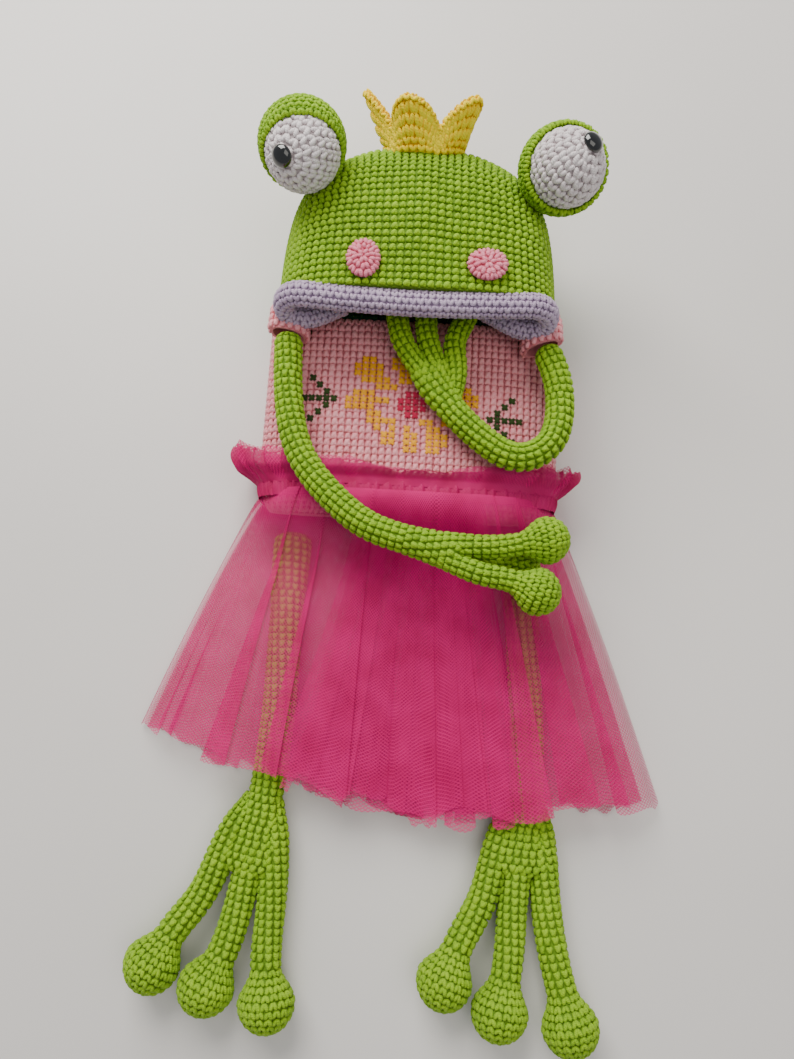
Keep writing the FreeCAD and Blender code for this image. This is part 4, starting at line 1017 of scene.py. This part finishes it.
def digits(spec):
    """Fingers or toes: each leaves the wrist or ankle as a thin root among the others,
    fills out to its stem, swells into a ball and closes in ever smaller rounds."""
    start, wrist = JOINTS[spec["joints"][0]], JOINTS[spec["joints"][2]]
    stem, ball = spec["stem"] - YARN, spec["ball"] - YARN
    roots = np.array([(*root, 0.0) for root, _ in spec["digits"]]) + (start[0], start[1], 0)
    middle = roots.mean(axis=0)
    heading = unit((middle - wrist) * (1, 1, 0))
    for n, (_, tip) in enumerate(spec["digits"], start=1):
        node = f"{spec['digit_names']}_{n}"
        toe = "toe" in node
        tip_z = box_mm(node)[1][2] - spec["ball"]
        low = tip_z < 50 and not toe
        end = np.array([start[0] + tip[0], start[1] + tip[1], tip_z])
        root = roots[n - 1] + (0, 0, start[2] if toe else (47.5 if low else tip_z))
        side = (root - middle) * (1, 1, 0)
        out, ahead = (0.72, 0.54) if toe else (0.90, 0.47)
        first = wrist + (1 - out) * side + heading * 3 - (0, 0, 3.0 if low else 0.0)
        fan = wrist + out * side + heading * ahead * np.linalg.norm(middle - wrist)
        fan[2] = (first[2] + root[2]) / 2
        way = unit(end - root)
        bow = np.cross(way, (0, 0, 1)) * (1.2 if n % 2 else -1.2)
        line = smooth_line([first, fan, root, (root + end) / 2 + bow, end,
                            end + way * ball], 200)
        total = length_of(line)
        reach, flare = total - ball, 1.15 * ball

        def radii(v, reach=reach, total=total, flare=flare):
            s = v * total
            grown = stem * (0.70 + 0.30 * ease(s / 20))
            neck = grown + (ball - stem) * ease((s - reach + flare) / flare)
            cap = np.sqrt(np.clip(ball ** 2 - (s - reach).clip(0, ball) ** 2, 0, None))
            r = np.where(s < reach, neck, cap)
            return r, r

        surface = tube(line, radii)
        split = (reach - flare) / total
        patch = Patch()
        under_skin(patch, surface, columns=28, rows=56, inset=0.35)
        stitch(patch, surface, 0.0, split, fixed=10 if toe else 9, stagger=0.08, **GRAIN)
        stitch(patch, surface, split, 0.9985, wide=4.4, tall=3.7, stagger=0.45, **VEE)
        finish(patch, f"{node}_crochet", GREEN, [node],
               spec["bodies"][2])


def sleeve(side):
    """A short cap sleeve: a flattened funnel of pink crochet over the top of the arm."""
    _, high = box_mm(f"sleeve_{side}")
    shoulder = JOINTS[f"shoulder_{side}"]
    sign = -1 if side == "left" else 1
    x = shoulder[0] - sign * 1.0
    top, rim = high[1] + 2.0, shoulder[1] - 0.5
    slope = 0.34 if side == "right" else -0.20

    def funnel(u, v, inset=0.0):
        u, v = np.broadcast_arrays(u, v)
        y = top - (top - rim) * v
        open_ = ease(v / 0.55)
        half = 9.8 + 1.2 * v - inset
        deep = (1.4 + 8.4 * open_) - inset * 0.8
        points = slab(1 - u, y, half, 55.9 - deep, 55.9 + deep, 2.3, 2.3)
        points[..., 0] += x
        points[..., 1] += slope * (points[..., 0] - x)
        return points

    patch = Patch()
    fabric_wall(patch, lambda u, v: funnel(u, v, 0.6), lambda u, v: funnel(u, v, 2.2),
                columns=40, rows=14)
    stitch(patch, funnel, 0.0, 0.98, tall=3.8, **GRAIN)
    finish(patch, f"sleeve_{side}_crochet", PINK, [f"sleeve_{side}"],
           "pouch")


# --- the zip ------------------------------------------------------------------------------------

def coil(node, body):
    """Half a nylon coil: a row of small slanting teeth, one every 1.5 mm."""
    low, high = box_mm(node)
    n = int((high[0] - low[0]) / 1.5)
    patch = Patch()
    x = np.linspace(low[0] + 0.8, high[0] - 0.8, n)
    centre = np.tile((low + high) / 2, (n, 1))
    centre[:, 0] = x
    along = np.tile([0.12, 0.99, 0.0], (n, 1))
    across = np.tile([0.99, -0.12, 0.0], (n, 1))
    out = np.tile([0.0, 0.0, 1.0], (n, 1))
    patch.lobes(centre, along, -across, out, (1.2, 0.5, 0.85), np.full(n, 0.5))
    finish(patch, f"{node}_teeth", NYLON, [node], body)


# --- the tulle skirt ------------------------------------------------------------------------------

def net_layer(name, points, material, deep, nodes=(), drawn=None):
    """One gathered layer of net over rows of points, cut as deep as given in metres and
    as wide as its area needs.  Its UV is in millimetres of cloth and keeps pace with the
    cloth along its middle row."""
    patch = Patch()
    rows = len(points)
    u, v = np.meshgrid(run_along(points[rows // 2]), np.linspace(0, drawn or deep / MM, rows))
    patch.grid(points, uvs=np.stack([u, v], -1), painted_light=1.0)
    made = patch.mesh(name, material, "cloth")
    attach(made, "pouch")
    if nodes:
        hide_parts(*nodes)


HEM = [(-146, -189), (-122, -200), (-82, -211), (-34, -220), (22, -232), (72, -228),
       (117, -221), (152, -220)]
WAIST_Y = box_mm("skirt_waistband")[0][1]


LAYERS = {
    # seed, folds across, how far a fold doubles back, share of the skirt it spans, hem's
    # extra drop, height above the legs, and whether it lies over them
    "front": (11, 10, 2.3, (0.0, 1.0), 0.0, 1.6, True),
    "pleats": (29, 7, 3.6, (0.275, 0.735), -4.0, 0.0, True),
    "lining": (23, 6, 2.6, (0.29, 0.72), 3.0, -1.6, True),
    "back": (37, 7, 1.3, (0.01, 0.97), 2.0, 0.0, False),
}


def pleat_phase(s, seed, folds):
    """Where a gathered cloth is within its pleats, unevenly spaced, and each one's size."""
    rng = np.random.default_rng(seed)
    drift = sum(a * np.sin(math.tau * f * s + p) for a, f, p in
                zip(rng.uniform(0.10, 0.25, 4), (0.7, 1.3, 2.1, 3.7), rng.uniform(0, 6, 4)))
    size = 1.0 + 0.55 * np.sin(math.tau * 1.7 * s + rng.uniform(0, 6)) \
        + 0.35 * np.sin(math.tau * 4.3 * s + rng.uniform(0, 6))
    return math.tau * (folds * s + drift * 1.6), np.clip(size, 0.3, 1.9)


def skirt():
    """The skirt: four layers of net gathered to the waist.  Three lie over the legs, with
    the fullest pleats in the middle, and one lies under them.  Each pleat's cloth
    advances, doubles back over itself and advances again."""
    rows, cols = 56, 760
    s = np.linspace(0, 1, cols)[None, :]
    v = np.linspace(0, 1, rows)[:, None]
    hem = np.array(HEM, float)
    for name, (seed, folds, double, (left, right), drop, lift, over) in LAYERS.items():
        phase, size = pleat_phase(s, seed, folds)
        back = double * size * np.sin(phase) / (math.tau * folds) * (0.35 + 0.65 * v ** 0.7)
        start = left + (0.09 * (1 - v) if 0.1 < left else 0.0)
        place = start + (right - start) * (s - back * np.sin(math.pi * s) ** 0.3)
        share = np.clip(2 * place - 1, -1, 1)
        side = np.where(share < 0, -hem[0, 0], hem[-1, 0])
        waist_half = POUCH_HALF + 2.5
        x = share * (waist_half + (side - waist_half) * v ** 0.86)
        loose = 3.2 * np.sin(math.tau * 5.3 * s + seed) + 1.6 * np.sin(math.tau * 19 * s)
        y = WAIST_Y + 1 + (np.interp(share * 150, hem[:, 0], hem[:, 1]) - drop - WAIST_Y
                           + loose) * v
        lay = -np.sin(phase) * size * (0.4 + 0.9 * v)
        if over:
            roof = 25.0 + (POUCH_DEEP - 23.0) * (1 - ease(v * 3.2))
            sag = 7.0 * ease(v * 3) * np.exp(-((x - 4) / 38) ** 2)
            shoulder = np.clip(1 - np.abs(share) ** 5, 0, 1) ** 0.55
            z = np.maximum(1.6 + (roof - 1.6 - sag + lift) * shoulder + lay * 0.8, 1.5)
        else:
            z = 1.1 + 0.5 * np.cos(phase) + 0 * v
        points = np.stack(np.broadcast_arrays(x, y, z), -1)
        net_layer(f"skirt_{name}_tulle", points, TULLE, 0.165,
                  ["skirt_tulle"] if name == "front" else [])


def waist_ring(u, y, out):
    """Points on the pouch's waist, lifted outwards by out."""
    return slab(u, y, POUCH_HALF - DRAWN + out, DRAWN - out * 0.4,
                POUCH_DEEP - DRAWN + out)


def waistband():
    """The gathered band over the elastic: fine upright pleats, pinched at both edges."""
    low, high = box_mm("skirt_waistband")
    cols, rows = 1400, 14
    u = np.linspace(0, 1, cols)[None, :]
    v = np.linspace(0, 1, rows)[:, None]
    rng = np.random.default_rng(5)
    pleat = sum(np.sin(math.tau * f * u + p) for f, p in
                zip((61, 87, 113, 149), rng.uniform(0, 6, 4))) / 4
    out = 2.1 + 1.3 * np.sin(math.pi * v) * (0.7 + 0.5 * pleat) + 0.25 * pleat
    y = low[1] - 3 + (high[1] - low[1] + 4) * v + 0.3 * pleat
    net_layer("waistband_tulle", waist_ring(u, y, out), GATHERED_AND_SHADED, 0.012,
              ["skirt_waistband", "skirt_elastic"])


def ruffle():
    """The header above the band: two layers of net that wave in and out, flat over the
    front, where the pouch pushes up, and standing off at both sides."""
    low, high = box_mm("skirt_ruffle")
    cols, rows = 1300, 22
    u = np.linspace(0, 1, cols)[None, :]
    v = np.linspace(0, 1, rows)[:, None]
    for n, (seed, tall, material) in enumerate(((3, 17.0, TULLE), (8, 14.5, GATHERED_AND_SHADED))):
        rng = np.random.default_rng(seed)
        wave = sum(a * np.sin(math.tau * f * u + p) for a, f, p in
                   zip((1.0, 0.8, 0.6, 0.4), (17, 26, 41, 67), rng.uniform(0, 6, 4))) / 1.6
        angle = math.tau * u
        across = np.cos(angle)
        beside = np.abs(across) ** 3
        front = np.clip(np.sin(angle), 0, 1)
        out = 2.4 + n * 0.5 + v * (1.3 + 1.2 * wave) \
            + beside * np.sin(v * 2.2) * np.where(across < 0, 8.5 + 3 * wave, 5.0 + 2.5 * wave)
        out = np.maximum(out, 1.6)
        dip = tall * (1 - 0.50 * front * np.exp(-((across - 0.10) / 0.50) ** 2))
        dip = dip * (1 + 0.07 * wave) + beside * 6.0 * (across < 0)
        y = low[1] + 4.5 + dip * v
        points = waist_ring(u, y, out + 2.8 * ease((y - BAND_Y) / 6))
        sway = 1.6 * v * sum(np.sin(math.tau * f * u + p) for f, p in
                             zip((23, 37), rng.uniform(0, 6, 2)))
        points[..., 0] += sway * front
        net_layer(f"ruffle_{'inner' if n else 'outer'}_tulle", points, material, 0.017,
                  [] if n else ["skirt_ruffle"], drawn=tall)


# --- CAD nodes that keep their own shape --------------------------------------------------------

def finish_nodes():
    """Give each CAD node that still shows its real finish."""
    for name, material in (("zip_lower_tape", TAPE), ("zip_upper_tape", TAPE),
                           ("zip_slider", METAL), ("zip_puller", METAL)):
        data = frame["nodes"][name].data
        data.materials.clear()
        data.materials.append(material)


# --- table, light and camera ---------------------------------------------------------------------

def table():
    """A plain pale table top, with a barely uneven satin surface."""
    material, tree = new_material("pale_laminate")
    place = add(tree, "TexCoord").outputs["Object"]
    patches = add(tree, "TexNoise", {"Vector": place, "Scale": 3.0,
                                     "Detail": 2.0}).outputs["Fac"]
    colour = ramp(tree, patches, (0.3, "DCD7D3"), (0.7, "E4DFDB"))
    surface_shader(tree, {"Base Color": colour, "Roughness": 0.42,
                          "Specular IOR Level": 0.35})
    data = bpy.data.meshes.new("table_top")
    size = 4.0
    data.from_pydata([(-size, -size, 0), (size, -size, 0), (size, size, 0), (-size, size, 0)],
                     [], [(0, 1, 2, 3)])
    data.materials.append(material)
    floor = bpy.data.objects.new("table_top", data)
    bpy.context.scene.collection.objects.link(floor)
    floor.location.z = -0.0003


def light(name, place, aim, size, watts, code):
    """A soft square lamp that looks at a point."""
    data = bpy.data.lights.new(name, "AREA")
    data.shape = "SQUARE"
    data.size = size
    data.energy = watts
    data.color = linear(code)[:3]
    lamp = bpy.data.objects.new(name, data)
    bpy.context.scene.collection.objects.link(lamp)
    lamp.location = place
    lamp.rotation_euler = (Vector(aim) - Vector(place)).to_track_quat("-Z", "Y").to_euler()


def studio():
    """Soft daylight from beyond the head, a weaker fill from below and even ambient."""
    light("window", (-0.40, 0.85, 0.90), (0, 0, 0.02), 0.9, 26.0, "FFFDF8")
    light("ceiling", (0.45, -0.25, 1.5), (0, -0.05, 0), 1.2, 8.0, "FFFAF2")
    world = bpy.data.worlds.new("room")
    world.use_nodes = True
    back = world.node_tree.nodes["Background"]
    back.inputs["Color"].default_value = linear("E8ECF0")
    back.inputs["Strength"].default_value = 0.46
    bpy.context.scene.world = world


def camera():
    """Looks down from above the feet end, tipped 12 degrees and rolled 3."""
    tilt, roll = math.radians(12.0), math.radians(3.0)
    look = Vector((0, math.sin(tilt), -math.cos(tilt)))
    right, up = Vector((1, 0, 0)), Vector((0, math.cos(tilt), math.sin(tilt)))
    right_2 = right * math.cos(roll) + up * math.sin(roll)
    up_2 = up * math.cos(roll) - right * math.sin(roll)
    data = bpy.data.cameras.new("camera")
    data.sensor_width = 36.0
    data.lens = 27.03
    data.clip_start, data.clip_end = 0.01, 20.0
    made = bpy.data.objects.new("camera", data)
    bpy.context.scene.collection.objects.link(made)
    turn = Matrix((right_2, up_2, -look)).transposed().to_4x4()
    made.matrix_world = Matrix.Translation((-0.0047, -0.1685, 0.475)) @ turn
    bpy.context.scene.camera = made


camera()
studio()
table()
pouch()
crosses("flower_petals", "g", GOLD)
crosses("flower_centre", "c", CRIMSON)
crosses("leaf_left", "o", OLIVE, side=-1)
crosses("leaf_right", "o", OLIVE, side=1)
hood()
back_panel()
lip()
for side in ("left", "right"):
    eye(side)
    cheek(side)
    sleeve(side)
crown()
for spec in LIMBS.values():
    limb(spec)
    digits(spec)
coil("zip_lower_coil", "pouch")
coil("zip_upper_coil", "head")
waistband()
skirt()
ruffle()
finish_nodes()
